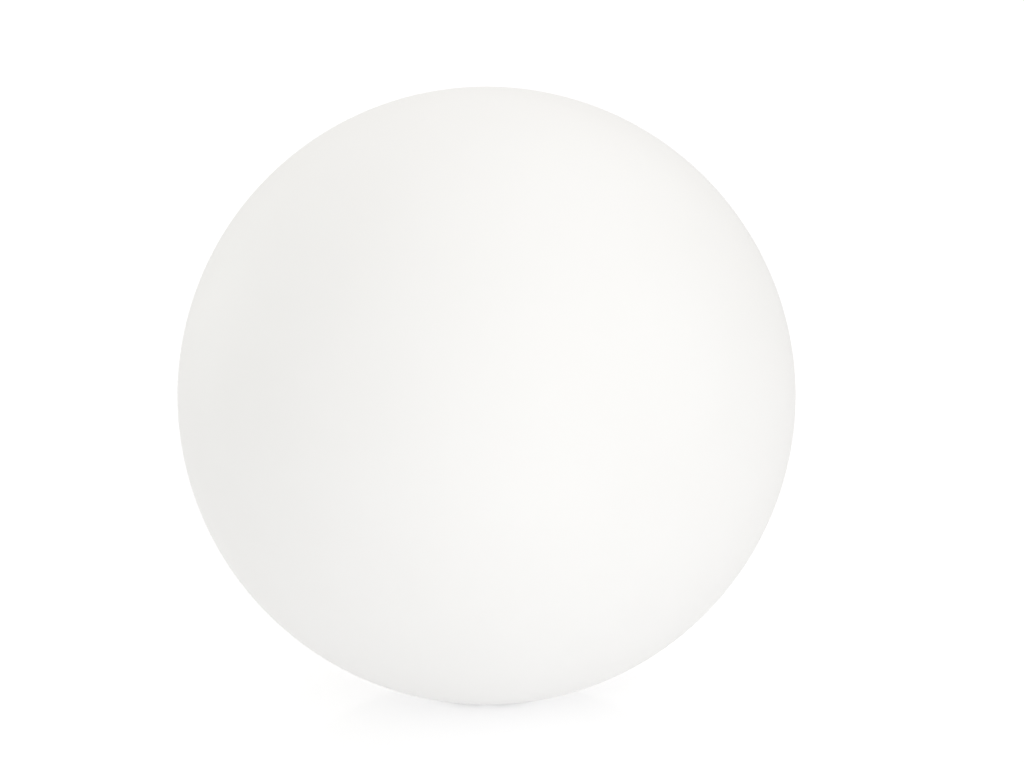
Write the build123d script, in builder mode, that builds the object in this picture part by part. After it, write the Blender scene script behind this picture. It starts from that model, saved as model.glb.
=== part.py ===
from build123d import *
from math import asin, cos, degrees, pi, radians, sin, sqrt
import os

os.makedirs("parts", exist_ok=True)

# Cordless garden globe light, in millimetres. It stands on z = 0 with its axis on Z.
# A one-piece moulded globe lifts off a base plate that carries a sealed light tower.
# Sizes run outwards from the battery cells: cells, cradle, tube, neck, well and foot.

# Battery cells. A clip, an upper boss and a lead sit at each gap between two of them.
cell_count = 3
cell_diameter = 18.5
cell_length = 65.0  # over the terminal
cell_terminal_diameter = 6.4
cell_terminal_height = 0.8
cell_gap = 1.0  # between neighbouring cells
cell_edge_round = 0.8
first_cell_angle = 60.0

# Cradles that hold the cells, and the straps welded to them
cradle_rim = 5.7  # from the cells' outer reach to the cradle's edge
cradle_floor = 2.0
cradle_pocket = 4.0
cradle_cell_fit = 0.25
cradle_tube_fit = 0.6
cradle_post_diameter = 5.0
notch_width = 9.0  # for the leads, the rivets and the upper bosses
notch_depth = 10.0
strap_thickness = 0.3
strap_pad_diameter = 10.0
strap_bar_width = 5.0
strap_room = 0.5

# Light tower
tower_wall = 2.2
tower_head_room = 14.0  # from the upper cradle to the heat sink
base_boss_diameter = 9.0
lens_boss_diameter = 6.0
lens_boss_length = 12.0
boss_bite = 1.0  # how far a boss runs into the tube's wall
tower_seal_thickness = 1.0
tower_seal_inset = 0.1

# Globe
globe_diameter = 400.0
globe_wall = 3.0
neck_gap = 2.0  # between tower and neck
seat_width = 5.0
land_width = 5.5  # flat ring that the ball is cut to
land_gap = 2.0  # from the floor to that ring
land_outer_round = 2.5
land_inner_round = 1.5
well_outer_round = 2.0
gutter_round = 3.0
neck_round = 0.8
key_width = 6.0
key_depth = 1.2
key_lead_in = 2.0
key_top_gap = 3.0
key_fit = 0.3
key_root = 1.0  # how far the key runs into the well's wall

# Base plate
well_gap = 0.5  # between plate and well
pocket_depth = 5.0
pocket_margin = 0.65  # beyond the screw heads
panel_thickness = 3.0
socket_depth = 3.0  # that the tube stands in
socket_gap = 0.15
plate_edge_round = 0.8
gasket_thickness = 2.5
gasket_proud = 1.0
gasket_inset = 0.8
gasket_fit = 0.1
rim_wall = 0.9
standoff_diameter = 6.0

# Rubber feet
pad_count = 4
pad_width = 5.5
pad_sweep = 62.0  # degrees between the round ends' centres
pad_groove = 1.0
pad_fit = 0.1
pad_edge_round = 0.6

# Spring clips that hold the globe by its neck
clip_width = 8.0
clip_thickness = 0.5
clip_lift = 0.05  # off the tube's curve
clip_arm = 30.0  # from the widest point up to the end
clip_straight = 16.0  # length that lies on the tube
clip_bulge = 1.8  # beyond the neck's edge
clip_rise = 5.0  # from the neck's upper face to the widest point
clip_neck_gap = 0.5
clip_tip_gap = 1.2  # above the plate's rim
clip_tip_inset = 0.6
clip_bend = 2.0
rivet_end_gap = 4.0
rivet_spacing = 7.0
rivet_diameter = 2.5
rivet_head_diameter = 4.6
rivet_head_height = 0.9
rivet_head_taper = 18.0  # degrees
rivet_tail_diameter = 4.0
rivet_tail_height = 0.8
rivet_tail_gap = 0.1
rivet_fit = 0.05

# Screws: base and lens, control board, lamp board
screw_diameter = 3.0
screw_head_diameter = 5.5
screw_head_height = 2.2
base_screw_count = 4
base_screw_length = 14.0
lens_screw_length = 14.0
counterbore_depth = 1.2
counterbore_room = 0.3
screw_hole_room = 0.2
pilot_room = 0.05
pilot_spare = 2.0  # depth beyond the screw's end
drive_recess_width = 2.0
drive_recess_depth = 1.0
screw_head_round = 0.5
board_screw_diameter = 2.5
board_screw_head_diameter = 4.5
board_screw_head_height = 1.6
board_screw_length = 6.5
led_screw_diameter = 2.0
led_screw_head_diameter = 3.6
led_screw_head_height = 1.3
led_screw_length = 4.6

# Control board and what is on it
board_thickness = 1.6
board_gap = 0.8
board_boss_gap = 0.5
board_screw_inset = 7.0
board_parts_height = 8.0  # tallest part on the upper side
board_head_room = 1.4
coil_width = 10.0
coil_height = 5.0
coil_place = (9.0, 3.0)
capacitor_diameter = 6.3
capacitor_place = (9.0, -9.0)
chip_width = 6.0
chip_height = 1.6
chip_place = (-9.0, 7.0)
terminal_width = 8.0
terminal_depth = 5.0
terminal_height = 6.0
terminal_place = (-9.0, -4.0)
part_edge_round = 0.5

# Power button and its switch
button_place = 10.0  # left of the axis
button_diameter = 11.0
button_fit = 0.2
button_proud = 2.4  # below the panel
button_edge_round = 0.8
button_flange_width = 1.7
button_flange_thickness = 1.2
button_nub_diameter = 3.0
button_nub_height = 0.6
button_travel = 1.2
ring_section = 1.0
ring_fit = 0.02
ring_proud = 0.12
ring_groove_width = 1.1
switch_width = 6.0
switch_height = 4.0
plunger_diameter = 3.5
plunger_bore_fit = 0.05
plunger_reserve = 0.2  # left outside the switch at full press
plunger_inside = 1.5
switch_bore_floor = 0.8

# Charge port, its door and plug
port_place = 9.5  # right of the axis
port_recess = 1.0  # mouth above the panel's lower face
shell_width = 9.0
shell_depth = 3.3
shell_wall = 0.3
shell_cavity = 6.5
tongue_width = 6.7
tongue_thickness = 0.7
tongue_length = 5.0
slot_room = 0.35
door_thickness = 1.6
door_width = 15.0
door_margin = 4.6  # beyond the slot, along the door
door_corner = 2.0
door_tab_width = 6.0
door_tab_reach = 2.0
lip_thickness = 1.0
lip_inset = 0.6
plug_fit = 0.4
plug_end_gap = 0.2
hinge_gap = 2.5  # from the door's edge to the pin
pin_diameter = 1.5
pin_fit = 0.05
pin_seat_fit = 0.02
knuckle_wall = 0.85
knuckle_width = 8.0
lug_gap = 0.2
lug_thickness = 2.0

# Charge light and pressure vent
pipe_place = 11.0  # behind the axis
pipe_diameter = 3.0
pipe_fit = 0.05
pipe_proud = 0.4
pipe_collar_diameter = 4.6
collar_thickness = 0.8
pipe_led_gap = 0.3
indicator_width = 2.0
indicator_height = 0.8
vent_place = 11.0  # in front of the axis
vent_cap_diameter = 8.0
vent_cap_height = 1.4
vent_stem_diameter = 4.8
vent_stem_rise = 1.5
vent_collar_diameter = 5.8
vent_bore_diameter = 2.0
vent_cap_skin = 0.6
vent_slot_width = 1.0

# Lamp head
sink_thickness = 3.0
pad_thickness = 0.5
led_board_thickness = 1.6
led_board_gap = 1.0
led_ring_count = 8
led_ring_inset = 6.0
led_centre_count = 4
led_centre_radius = 5.4
led_width = 5.0
led_height = 1.6
led_screw_inset = 2.4
led_wire_inset = 2.9
dome_wall = 2.0
dome_margin = 0.8  # from screw head to dome
dome_flange = 2.5
dome_foot_round = 0.5
dome_gasket_thickness = 1.0
dome_gasket_width = 6.0

# Inner leads
lead_diameter = 1.8
lead_inset = 7.2  # from the cradle's edge
lead_bend = 4.0
lead_arch = 8.0  # above the upper strap
lead_spacing = 2.4
lead_hole_room = 0.5

# Radii that follow
cell_radius = cell_diameter / 2
cell_circle = (cell_diameter + cell_gap) / 2 / sin(pi / cell_count)
cradle_radius = cell_circle + cell_radius + cradle_rim
tower_bore = cradle_radius + cradle_tube_fit
tower_radius = tower_bore + tower_wall
neck_radius = tower_radius + neck_gap
well_radius = neck_radius + seat_width
flat_radius = well_radius + land_width
globe_radius = globe_diameter / 2
inner_radius = globe_radius - globe_wall
plate_radius = well_radius - well_gap
socket_radius = tower_radius + socket_gap
gasket_inner = neck_radius + gasket_inset
gasket_outer = plate_radius - rim_wall - gasket_fit
base_boss_circle = tower_bore - base_boss_diameter / 2 + boss_bite
lens_boss_circle = tower_bore - lens_boss_diameter / 2 + boss_bite
screw_head_radius = screw_head_diameter / 2
pocket_radius = base_boss_circle + screw_head_radius + counterbore_room + pocket_margin
pad_circle = (pocket_radius + plate_radius) / 2
board_radius = tower_bore - board_gap
board_screw_circle = board_radius - board_screw_inset
dome_radius = lens_boss_circle - screw_head_radius - dome_margin
led_board_radius = dome_radius - dome_wall - led_board_gap
led_ring_circle = led_board_radius - led_ring_inset
led_screw_circle = led_board_radius - led_screw_inset
led_wire_circle = led_board_radius - led_wire_inset
lead_circle = cradle_radius - lead_inset
post_circle = (cell_circle + strap_pad_diameter / 2 + strap_room + cradle_radius) / 2

# Heights that follow, from the floor up
land_z = land_gap
panel_z = land_z + pocket_depth
panel_top = panel_z + panel_thickness
rim_z = panel_top + socket_depth
seat_z = rim_z + gasket_proud
seat_top = seat_z + globe_wall
globe_z = land_z + sqrt(globe_radius**2 - flat_radius**2)
tower_z = panel_top + tower_seal_thickness
flange_top = panel_top + button_flange_thickness
plunger_z = flange_top + button_nub_height
switch_z = plunger_z + button_travel + plunger_reserve
board_z = switch_z + switch_height
board_top = board_z + board_thickness
lower_cradle_z = board_top + board_parts_height + board_head_room
cell_z = lower_cradle_z + cradle_floor
cell_top = cell_z + cell_length
cell_shoulder = cell_top - cell_terminal_height
upper_cradle_top = cell_top + cradle_floor
sink_z = upper_cradle_top + tower_head_room
sink_top = sink_z + sink_thickness
led_board_z = sink_top + pad_thickness
led_board_top = led_board_z + led_board_thickness
flange_z = sink_top + dome_gasket_thickness
dome_z = flange_z + dome_flange
counterbore_z = panel_z + counterbore_depth
hinge_x = port_place + shell_depth / 2 + slot_room + door_margin + hinge_gap
door_z = panel_z - lip_thickness - door_thickness
hinge_z = door_z + door_thickness / 2
knuckle_radius = pin_diameter / 2 + knuckle_wall
mouth_z = panel_z + port_recess

# Angles that follow
cell_step = 360 / cell_count
cell_angles = [first_cell_angle + cell_step * step for step in range(cell_count)]
gap_angles = [cell_angle - cell_step / 2 for cell_angle in cell_angles]
red_lead_angle = gap_angles[1]
lamp_lead_angle = gap_angles[2]
pad_angles = [45 + 360 / pad_count * step for step in range(pad_count)]
led_ring_start = lamp_lead_angle + 180 / led_ring_count
led_screw_start = lamp_lead_angle + 90


def write_piece(piece, label):
    """Label a finished piece and write it to its own file."""
    piece.part.label = label
    export_step(piece.part, f"parts/{label}.step")


def radial_plane(angle, radius, height):
    """Plane that faces away from the axis: local x runs round the axis, local y runs up."""
    across = cos(radians(angle))
    along = sin(radians(angle))
    centre = (radius * across, radius * along, height)
    return Plane(origin=centre, x_dir=(-along, across, 0), z_dir=(across, along, 0))


def upright_plane(angle):
    """Plane through the axis: local x runs out from the axis, local y runs up."""
    across = cos(radians(angle))
    along = sin(radians(angle))
    return Plane(origin=(0, 0, 0), x_dir=(across, along, 0), z_dir=(along, -across, 0))


def around(radius, angle, height):
    """Point at a radius, an angle in degrees and a height."""
    return (radius * cos(radians(angle)), radius * sin(radians(angle)), height)


def ring_edge(piece, radius, height):
    """The circular edge of a piece nearest to a radius and a height on the axis."""
    rings = piece.edges().filter_by(GeomType.CIRCLE)
    return rings.sort_by(lambda edge: abs(edge.radius - radius) + abs(edge.center().Z - height))[0]


def screw(shank_diameter, shank_length, head_diameter, head_height):
    """Add one pan-head screw at the current locations, its head standing up from the local plane."""
    Cylinder(shank_diameter / 2, shank_length, align=(Align.CENTER, Align.CENTER, Align.MAX))
    Cylinder(head_diameter / 2, head_height, align=(Align.CENTER, Align.CENTER, Align.MIN))


def strap_outline(room):
    """Sketch the strap that joins the cells, grown by some room all round."""
    with PolarLocations(cell_circle, cell_count, start_angle=first_cell_angle):
        Circle(strap_pad_diameter / 2 + room)
    with PolarLocations(cell_circle / 2, cell_count, start_angle=first_cell_angle):
        Rectangle(cell_circle, strap_bar_width + 2 * room)


def cradle_outline():
    """Sketch a cradle: a disc with a notch at each gap between cells."""
    Circle(cradle_radius)
    with PolarLocations(cradle_radius, cell_count, start_angle=gap_angles[0]):
        Rectangle(2 * notch_depth, notch_width, mode=Mode.SUBTRACT)


def pad_outline(pad_angle, room):
    """Sketch one curved foot, grown by some room all round."""
    middle = CenterArc((0, 0), pad_circle, pad_angle - pad_sweep / 2, pad_sweep, mode=Mode.PRIVATE)
    SlotArc(middle, pad_width + 2 * room)


# Globe: ball cut flat at the foot, with a well, a seat and a neck
flat_angle = -90 + degrees(asin(flat_radius / globe_radius))
well_skin = well_radius + globe_wall
inner_angle = -90 + degrees(asin(well_skin / inner_radius))
gutter_z = globe_z - sqrt(inner_radius**2 - well_skin**2)
with BuildPart() as globe_shell:
    with BuildSketch(Plane.XZ):
        with BuildLine():
            CenterArc((0, globe_z), globe_radius, flat_angle, 90 - flat_angle)
            Polyline(
                (flat_radius, land_z),
                (well_radius, land_z),
                (well_radius, seat_z),
                (neck_radius, seat_z),
                (neck_radius, seat_top),
                (well_skin, seat_top),
                (well_skin, gutter_z),
            )
            CenterArc((0, globe_z), inner_radius, inner_angle, 90 - inner_angle)
            Line((0, globe_z + inner_radius), (0, globe_z + globe_radius))
        make_face()
    revolve(axis=Axis.Z)
    fillet(ring_edge(globe_shell, flat_radius, land_z), land_outer_round)
    fillet(ring_edge(globe_shell, well_radius, land_z), land_inner_round)
    fillet(ring_edge(globe_shell, well_skin, seat_top), well_outer_round)
    fillet(ring_edge(globe_shell, well_skin, gutter_z), gutter_round)
    fillet(ring_edge(globe_shell, neck_radius, seat_top), neck_round)
    key_z = land_z + key_lead_in
    with BuildSketch(Plane.XY.offset(key_z)):
        with Locations((0, well_radius + (key_root - key_depth) / 2)):
            Rectangle(key_width, key_depth + key_root)
    extrude(amount=seat_z - key_top_gap - key_z)
write_piece(globe_shell, "globe_shell")

# Base plate: closes the well, and carries the panel, the hinge lugs and the standoffs
gasket_z = seat_z - gasket_thickness
lug_reach = knuckle_width / 2 + lug_gap + lug_thickness
slot_width = shell_width + 2 * slot_room
slot_depth = shell_depth + 2 * slot_room
with BuildPart() as base_plate:
    with BuildSketch(Plane.XZ):
        with BuildLine():
            Polyline(
                (0, panel_z),
                (pocket_radius, panel_z),
                (pocket_radius, land_z),
                (plate_radius, land_z),
                (plate_radius, rim_z),
                (gasket_outer + gasket_fit, rim_z),
                (gasket_outer + gasket_fit, gasket_z),
                (gasket_inner - gasket_fit, gasket_z),
                (gasket_inner - gasket_fit, rim_z),
                (socket_radius, rim_z),
                (socket_radius, panel_top),
                (0, panel_top),
                close=True,
            )
        make_face()
    revolve(axis=Axis.Z)
    fillet(ring_edge(base_plate, plate_radius, land_z), plate_edge_round)
    fillet(ring_edge(base_plate, pocket_radius, land_z), plate_edge_round)
    with BuildSketch(Plane.XY.offset(land_z)):
        with Locations((0, well_radius)):
            Rectangle(key_width + 2 * key_fit, 2 * (key_depth + key_fit))
    extrude(amount=rim_z - land_z, mode=Mode.SUBTRACT)
    with BuildSketch(Plane.XY.offset(land_z)):
        for pad_angle in pad_angles:
            pad_outline(pad_angle, pad_fit)
    extrude(amount=pad_groove, mode=Mode.SUBTRACT)
    with BuildSketch(Plane.XY.offset(panel_top)):
        with PolarLocations(board_screw_circle, 2, start_angle=90):
            Circle(standoff_diameter / 2)
    extrude(amount=board_z - panel_top)
    with BuildSketch(Plane.XZ):
        with Locations((hinge_x, hinge_z)):
            Circle(knuckle_radius)
            Rectangle(2 * knuckle_radius, panel_z - hinge_z, align=(Align.CENTER, Align.MIN))
    extrude(amount=lug_reach, both=True)
    with BuildSketch(Plane.XZ):
        with Locations((hinge_x, panel_z)):
            Rectangle(3 * knuckle_radius, pocket_depth, align=(Align.CENTER, Align.MAX))
    extrude(amount=knuckle_width / 2 + lug_gap, both=True, mode=Mode.SUBTRACT)
    with BuildSketch(Plane.XZ):
        with Locations((hinge_x, hinge_z)):
            Circle(pin_diameter / 2 + pin_seat_fit)
    extrude(amount=lug_reach, both=True, mode=Mode.SUBTRACT)
    with BuildSketch(Plane.XY.offset(panel_z)):
        with Locations((-button_place, 0)):
            Circle(button_diameter / 2 + button_fit)
        with Locations((port_place, 0)):
            RectangleRounded(slot_depth, slot_width, shell_depth / 2)
        with Locations((0, pipe_place)):
            Circle(pipe_diameter / 2 + pipe_fit)
        with Locations((0, -vent_place)):
            Circle(vent_stem_diameter / 2 + pipe_fit)
    extrude(amount=panel_thickness, mode=Mode.SUBTRACT)
    with Locations(Plane(origin=(0, 0, panel_z), x_dir=(1, 0, 0), z_dir=(0, 0, -1))):
        with PolarLocations(base_boss_circle, base_screw_count, start_angle=45):
            CounterBoreHole(
                screw_diameter / 2 + screw_hole_room,
                screw_head_radius + counterbore_room,
                counterbore_depth,
                panel_thickness,
            )
    with Locations((0, 0, board_z)):
        with PolarLocations(board_screw_circle, 2, start_angle=90):
            Hole(board_screw_diameter / 2 + pilot_room, board_screw_length - board_thickness + pilot_room)
write_piece(base_plate, "base_plate")

# Rubber feet, let into grooves of the plate
for number, pad_angle in enumerate(pad_angles, start=1):
    with BuildPart() as foot_pad:
        with BuildSketch():
            pad_outline(pad_angle, 0)
        extrude(amount=land_z + pad_groove)
        fillet(foot_pad.faces().sort_by(Axis.Z)[0].edges(), pad_edge_round)
    write_piece(foot_pad, f"foot_pad_{number}")

# Soft ring that the globe's seat rests on
with BuildPart() as seat_gasket:
    with BuildSketch(Plane.XY.offset(gasket_z)):
        Circle(gasket_outer)
        Circle(gasket_inner, mode=Mode.SUBTRACT)
    extrude(amount=gasket_thickness)
write_piece(seat_gasket, "seat_gasket")

# Screws from the panel up into the tower
with BuildPart() as base_screws:
    with Locations(Plane(origin=(0, 0, counterbore_z), x_dir=(1, 0, 0), z_dir=(0, 0, -1))):
        with PolarLocations(base_boss_circle, base_screw_count, start_angle=45):
            screw(screw_diameter, base_screw_length, screw_head_diameter, screw_head_height)
    fillet(base_screws.faces().filter_by(Axis.Z).group_by(Axis.Z)[0].edges(), screw_head_round)
    with BuildSketch(Plane.XY.offset(counterbore_z - screw_head_height)):
        with PolarLocations(base_boss_circle, base_screw_count, start_angle=45):
            RegularPolygon(drive_recess_width / 2, 6)
    extrude(amount=drive_recess_depth, mode=Mode.SUBTRACT)
write_piece(base_screws, "base_screws")

# Pressure vent: cap under the panel, hollow stem and collar above it
vent_top = panel_top + vent_stem_rise
with BuildPart() as vent_plug:
    with BuildSketch(Plane.XY.offset(panel_z - vent_cap_height)):
        with Locations((0, -vent_place)):
            Circle(vent_cap_diameter / 2)
    extrude(amount=vent_cap_height)
    with BuildSketch(Plane.XY.offset(panel_z)):
        with Locations((0, -vent_place)):
            Circle(vent_stem_diameter / 2)
    extrude(amount=vent_top - panel_z)
    with BuildSketch(Plane.XY.offset(panel_top)):
        with Locations((0, -vent_place)):
            Circle(vent_collar_diameter / 2)
    extrude(amount=collar_thickness)
    with BuildSketch(Plane.XY.offset(panel_z - vent_cap_height + vent_cap_skin)):
        with Locations((0, -vent_place)):
            Circle(vent_bore_diameter / 2)
    extrude(amount=vent_top - panel_z + vent_cap_height - vent_cap_skin, mode=Mode.SUBTRACT)
    with BuildSketch(Plane.XY.offset(panel_z - vent_cap_height + vent_cap_skin)):
        with Locations((0, -vent_place)):
            Rectangle(vent_cap_diameter, vent_slot_width)
    extrude(amount=vent_cap_height - vent_cap_skin, mode=Mode.SUBTRACT)
write_piece(vent_plug, "vent_plug")

# Clear pin that brings the charge light through the panel
indicator_z = board_z - indicator_height
with BuildPart() as light_pipe:
    with BuildSketch(Plane.XY.offset(panel_z - pipe_proud)):
        with Locations((0, pipe_place)):
            Circle(pipe_diameter / 2)
    extrude(amount=indicator_z - pipe_led_gap - panel_z + pipe_proud)
    with BuildSketch(Plane.XY.offset(panel_top)):
        with Locations((0, pipe_place)):
            Circle(pipe_collar_diameter / 2)
    extrude(amount=collar_thickness)
write_piece(light_pipe, "light_pipe")

# Charge light under the board
with BuildPart() as indicator_led:
    with BuildSketch(Plane.XY.offset(indicator_z)):
        with Locations((0, pipe_place)):
            Rectangle(indicator_width, indicator_width)
    extrude(amount=indicator_height)
write_piece(indicator_led, "indicator_led")

# Pin of the port door, seated in the plate's lugs
with BuildPart() as hinge_pin:
    with BuildSketch(Plane.XZ):
        with Locations((hinge_x, hinge_z)):
            Circle(pin_diameter / 2)
    extrude(amount=lug_reach, both=True)
write_piece(hinge_pin, "hinge_pin")

# Door over the charge port, with a knuckle on the pin and a tab for a fingernail
door_edge = hinge_x - hinge_gap
door_length = 2 * (door_edge - port_place)
with BuildPart() as port_door:
    with BuildSketch(Plane.XY.offset(door_z)):
        with Locations((port_place, 0)):
            RectangleRounded(door_length, door_width, door_corner)
        with Locations((port_place - door_length / 2 - door_tab_reach, 0)):
            Rectangle(2 * door_tab_reach, door_tab_width, align=(Align.MIN, Align.CENTER))
        with Locations((hinge_x, 0)):
            Rectangle(2 * hinge_gap, knuckle_width, align=(Align.MAX, Align.CENTER))
    extrude(amount=door_thickness)
    with BuildSketch(Plane.XZ):
        with Locations((hinge_x, hinge_z)):
            Circle(knuckle_radius)
    extrude(amount=knuckle_width / 2, both=True)
    with BuildSketch(Plane.XZ):
        with Locations((hinge_x, hinge_z)):
            Circle(pin_diameter / 2 + pin_fit)
    extrude(amount=knuckle_width / 2, both=True, mode=Mode.SUBTRACT)
write_piece(port_door, "port_door")

# Silicone lip and plug on the door's inner face
with BuildPart() as port_plug:
    with BuildSketch(Plane.XY.offset(panel_z - lip_thickness)):
        with Locations((port_place, 0)):
            RectangleRounded(door_length - 2 * lip_inset, door_width - 2 * lip_inset, door_corner)
    extrude(amount=lip_thickness)
    with BuildSketch(Plane.XY.offset(panel_z)):
        with Locations((port_place, 0)):
            RectangleRounded(
                slot_depth - 2 * plug_fit,
                slot_width - 2 * plug_fit,
                shell_depth / 2 - plug_fit,
            )
    extrude(amount=port_recess - plug_end_gap)
write_piece(port_plug, "port_plug")

# Steel shell of the charge socket, open at its mouth
with BuildPart() as charge_socket:
    with BuildSketch(Plane.XY.offset(mouth_z)):
        with Locations((port_place, 0)):
            RectangleRounded(shell_depth, shell_width, shell_depth / 2 - shell_wall)
    extrude(amount=board_z - mouth_z)
    with BuildSketch(Plane.XY.offset(mouth_z)):
        with Locations((port_place, 0)):
            RectangleRounded(
                shell_depth - 2 * shell_wall,
                shell_width - 2 * shell_wall,
                shell_depth / 2 - 2 * shell_wall,
            )
    extrude(amount=shell_cavity, mode=Mode.SUBTRACT)
write_piece(charge_socket, "charge_socket")

# Insulating tongue inside the socket
with BuildPart() as socket_tongue:
    with BuildSketch(Plane.XY.offset(mouth_z + shell_cavity - tongue_length)):
        with Locations((port_place, 0)):
            Rectangle(tongue_thickness, tongue_width)
    extrude(amount=tongue_length)
write_piece(socket_tongue, "socket_tongue")

# Push button: cap through the panel, flange above it, nub under the plunger
button_z = panel_z - button_proud
button_radius = button_diameter / 2
ring_circle = button_radius + button_fit - ring_proud - ring_section / 2
groove_radius = ring_circle - ring_section / 2 - ring_fit
ring_z = (panel_z + panel_top) / 2
button_plane = Plane(origin=(-button_place, 0, 0), x_dir=(1, 0, 0), z_dir=(0, -1, 0))
button_axis = Axis((-button_place, 0, 0), (0, 0, 1))
with BuildPart() as power_button:
    with BuildSketch(button_plane):
        with BuildLine():
            Polyline(
                (0, button_z),
                (button_radius, button_z),
                (button_radius, ring_z - ring_groove_width / 2),
                (groove_radius, ring_z - ring_groove_width / 2),
                (groove_radius, ring_z + ring_groove_width / 2),
                (button_radius, ring_z + ring_groove_width / 2),
                (button_radius, panel_top),
                (button_radius + button_flange_width, panel_top),
                (button_radius + button_flange_width, flange_top),
                (button_nub_diameter / 2, flange_top),
                (button_nub_diameter / 2, plunger_z),
                (0, plunger_z),
                close=True,
            )
        make_face()
    revolve(axis=button_axis)
    fillet(ring_edge(power_button, button_radius, button_z), button_edge_round)
write_piece(power_button, "power_button")

# Ring seal in the button's groove
with BuildPart() as button_seal:
    with BuildSketch(button_plane):
        with Locations((ring_circle, ring_z)):
            Circle(ring_section / 2)
    revolve(axis=button_axis)
write_piece(button_seal, "button_seal")

# Push switch under the board, bored for its plunger
with BuildPart() as switch_body:
    with BuildSketch(Plane.XY.offset(switch_z)):
        with Locations((-button_place, 0)):
            Rectangle(switch_width, switch_width)
    extrude(amount=switch_height)
    with BuildSketch(Plane.XY.offset(switch_z)):
        with Locations((-button_place, 0)):
            Circle(plunger_diameter / 2 + plunger_bore_fit)
    extrude(amount=switch_height - switch_bore_floor, mode=Mode.SUBTRACT)
write_piece(switch_body, "switch_body")

# Plunger, which the button's nub pushes up into the switch
with BuildPart() as switch_plunger:
    with BuildSketch(Plane.XY.offset(plunger_z)):
        with Locations((-button_place, 0)):
            Circle(plunger_diameter / 2)
    extrude(amount=switch_z - plunger_z + plunger_inside)
write_piece(switch_plunger, "switch_plunger")

# Tower tube with screw bosses at both ends and rivet holes for the clips
apex_z = seat_top + clip_rise
clip_top = apex_z + clip_arm
rivet_heights = [clip_top - rivet_end_gap, clip_top - rivet_end_gap - rivet_spacing]
with BuildPart() as tower_tube:
    with BuildSketch(Plane.XY.offset(tower_z)):
        Circle(tower_radius)
        Circle(tower_bore, mode=Mode.SUBTRACT)
    extrude(amount=sink_z - tower_z)
    with BuildSketch(Plane.XY.offset(tower_z)):
        with PolarLocations(base_boss_circle, base_screw_count, start_angle=45):
            Circle(base_boss_diameter / 2)
    extrude(amount=lower_cradle_z - tower_z)
    with BuildSketch(Plane.XY.offset(sink_z - lens_boss_length)):
        with PolarLocations(lens_boss_circle, cell_count, start_angle=gap_angles[0]):
            Circle(lens_boss_diameter / 2)
    extrude(amount=lens_boss_length)
    with Locations(Plane(origin=(0, 0, tower_z), x_dir=(1, 0, 0), z_dir=(0, 0, -1))):
        with PolarLocations(base_boss_circle, base_screw_count, start_angle=45):
            Hole(
                screw_diameter / 2 + pilot_room,
                base_screw_length - (tower_z - counterbore_z) + pilot_spare,
            )
    with Locations((0, 0, sink_z)):
        with PolarLocations(lens_boss_circle, cell_count, start_angle=gap_angles[0]):
            Hole(
                screw_diameter / 2 + pilot_room,
                lens_screw_length - (dome_z - sink_z) + pilot_spare,
            )
    for gap_angle in gap_angles:
        for rivet_height in rivet_heights:
            with BuildSketch(radial_plane(gap_angle, tower_radius, rivet_height)):
                Circle(rivet_diameter / 2 + rivet_fit)
            extrude(amount=2 * tower_wall, both=True, mode=Mode.SUBTRACT)
write_piece(tower_tube, "tower_tube")

# Flat ring between the tube and the plate's socket
with BuildPart() as tower_seal:
    with BuildSketch(Plane.XY.offset(panel_top)):
        Circle(tower_radius - tower_seal_inset)
        Circle(tower_bore + tower_seal_inset, mode=Mode.SUBTRACT)
    extrude(amount=tower_seal_thickness)
write_piece(tower_seal, "tower_seal")

# Spring clips: flat on the tube, bulging under the neck's upper edge and tucked in below it
clip_face = tower_radius + clip_lift + clip_thickness / 2
clip_points = [
    (clip_face, clip_top),
    (clip_face, clip_top - clip_straight),
    (neck_radius + clip_bulge, apex_z),
    (neck_radius - clip_neck_gap - clip_thickness / 2, seat_top),
    (clip_face + clip_tip_inset, rim_z + clip_tip_gap),
]
for number, gap_angle in enumerate(gap_angles, start=1):
    with BuildPart() as spring_clip:
        with BuildSketch(upright_plane(gap_angle)):
            with BuildLine():
                FilletPolyline(*clip_points, radius=clip_bend)
            trace(line_width=clip_thickness)
        extrude(amount=clip_width / 2, both=True)
        for rivet_height in rivet_heights:
            with BuildSketch(radial_plane(gap_angle, tower_radius, rivet_height)):
                Circle(rivet_diameter / 2 + rivet_fit)
            extrude(amount=2 * clip_thickness, mode=Mode.SUBTRACT)
    write_piece(spring_clip, f"spring_clip_{number}")

# Rivets through clip and tube, formed over inside
rivet_seat = clip_face + clip_thickness / 2
tail_face = sqrt(tower_bore**2 - (rivet_tail_diameter / 2) ** 2) - rivet_tail_gap
with BuildPart() as clip_rivets:
    for gap_angle in gap_angles:
        for rivet_height in rivet_heights:
            with BuildSketch(radial_plane(gap_angle, tail_face - rivet_tail_height, rivet_height)):
                Circle(rivet_tail_diameter / 2)
            extrude(amount=rivet_tail_height)
            with BuildSketch(radial_plane(gap_angle, tail_face, rivet_height)):
                Circle(rivet_diameter / 2)
            extrude(amount=rivet_seat - tail_face)
            with BuildSketch(radial_plane(gap_angle, rivet_seat, rivet_height)):
                Circle(rivet_head_diameter / 2)
            extrude(amount=rivet_head_height, taper=rivet_head_taper)
write_piece(clip_rivets, "clip_rivets")

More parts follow.
